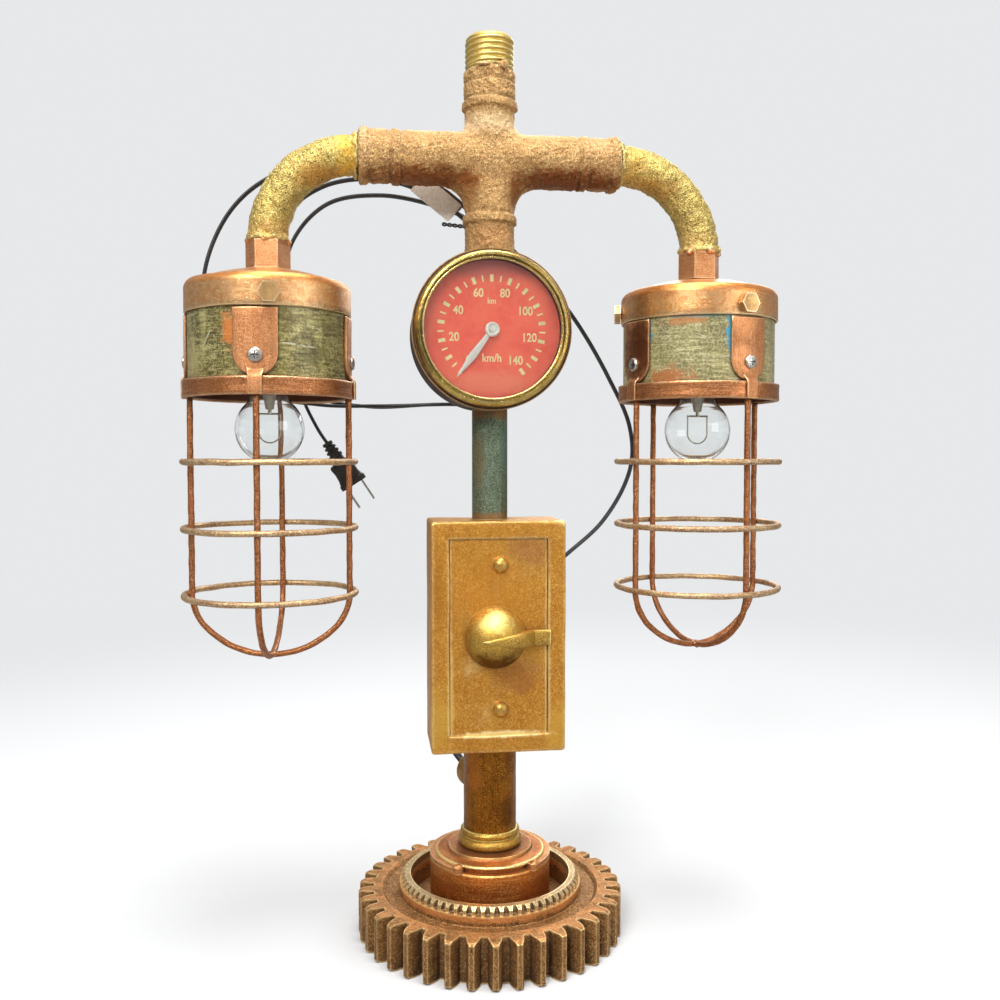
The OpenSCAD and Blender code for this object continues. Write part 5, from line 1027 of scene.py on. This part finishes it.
paper, n = new_material("tag paper")
fibre = n.noise(500, 4)
finish_material(n, n.times(fibre, 0.00004), 0.5, Roughness=0.8,
                Base_Color=n.mix(n.step(fibre, 0.35, 0.75), "faf4e8", "e8dccc"))
tag_profile = np.array([(-3.3, -14.8), (-3.25, -8), (-3.1, -2), *arc_points(0, 0, 2.75, 180, 0, 12), (2.75, -2.4),
                        (2.6, -4)]) / 1000
tag_normal = np.gradient(tag_profile, axis=0)
tag_normal /= np.linalg.norm(tag_normal, axis=1, keepdims=True)
tag_skin = 0.00012 * tag_normal[:, ::-1] * [-1, 1]
tag_loop = np.vstack([tag_profile + tag_skin, (tag_profile - tag_skin)[::-1]])
tag_s = np.linspace(-0.017, 0.017, 24)[:, None]
across, down = tag_loop.T
curl = 0.0009 * (tag_s / 0.017) ** 2 * down / 0.0148 * 0.6
tag_local = xyz(tag_s, across + 0.00018 + curl, down, 1)
lean_y, lean_z = math.radians(39.8), math.radians(-10.9)
turn_y = np.array([[math.cos(lean_y), 0, math.sin(lean_y)], [0, 1, 0], [-math.sin(lean_y), 0, math.cos(lean_y)]])
turn_z = np.array([[math.cos(lean_z), -math.sin(lean_z), 0], [math.sin(lean_z), math.cos(lean_z), 0], [0, 0, 1]])
tag_grid = tag_local @ (turn_z @ turn_y).T + np.array([-0.029, 0.0254, 0.5075])
tag = grid_piece("cord_tag_paper", tag_grid, paper, sharp=50)
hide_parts("cord_tag")


# ------------------------------
# Studio: a pale floor that runs into a pale surround, which only the camera and the glass show; all else is lit by a
# gradient that is brighter above. Four soft lamps.
studio, n = new_material("studio floor")
camera_ray = n.add("LightPath").outputs["Is Camera Ray"]
far = n.times(n.step(n.length(n.place()), 0.35, 1.7), camera_ray)
bounce = n.add("BsdfPrincipled", Base_Color=(0.30, 0.30, 0.30), Roughness=0.9)
near = n.add("BsdfPrincipled", Base_Color=(0.60, 0.605, 0.61), Roughness=0.9)
sky = (0.80, 0.81, 0.82)
pale = n.add("Emission", Color=sky, Strength=1.0)
near = n.add("MixShader", i0=camera_ray, i1=bounce.outputs[0], i2=near.outputs[0])
n.add("OutputMaterial", i0=n.add("MixShader", i0=far, i1=near.outputs[0], i2=pale.outputs[0]).outputs[0])
floor_mesh = bpy.data.meshes.new("studio_floor")
floor_mesh.from_pydata([(-6, -6, -0.0002), (6, -6, -0.0002), (6, 6, -0.0002), (-6, 6, -0.0002)], [], [(0, 1, 2, 3)])
floor_mesh.materials.append(studio)
floor = link("studio_floor", floor_mesh)
floor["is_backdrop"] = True

world = bpy.data.worlds.new("surround")
bpy.context.scene.world = world
world.use_nodes = True
world.node_tree.nodes.clear()
n = Nodes(world.node_tree)
path = n.add("LightPath").outputs
seen = n.math("MAXIMUM", path["Is Camera Ray"], path["Is Transmission Ray"])
height = n.add("SeparateXYZ", Vector=n.add("TexCoord").outputs["Generated"]).outputs["Z"]
light = n.add("Background", Color=(1.0, 1.0, 1.0), Strength=n.step(height, -0.1, 0.9, 0.24, 0.75))
show = n.add("Background", Color=sky, Strength=1.0)
n.add("OutputWorld", i0=n.add("MixShader", i0=seen, i1=light.outputs[0], i2=show.outputs[0]).outputs[0])
for name, place, power, size in (
        ("key", (-0.8, -1.5, 1.6), 36, 0.7), ("fill", (1.4, -1.3, 0.8), 11, 1.2),
        ("top", (0.1, -0.2, 1.9), 28, 0.8), ("back", (0.7, 1.5, 1.2), 10, 1.0)):
    lamp_data = bpy.data.lights.new(name, "AREA")
    lamp_data.energy, lamp_data.size = power, size
    lamp = link(name, lamp_data)
    lamp.location = place
    away = np.array(place) - np.array([0, 0, 0.3])
    lamp.rotation_euler = (math.acos(away[2] / np.linalg.norm(away)), 0, math.atan2(away[1], away[0]) + math.pi / 2)

low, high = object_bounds()
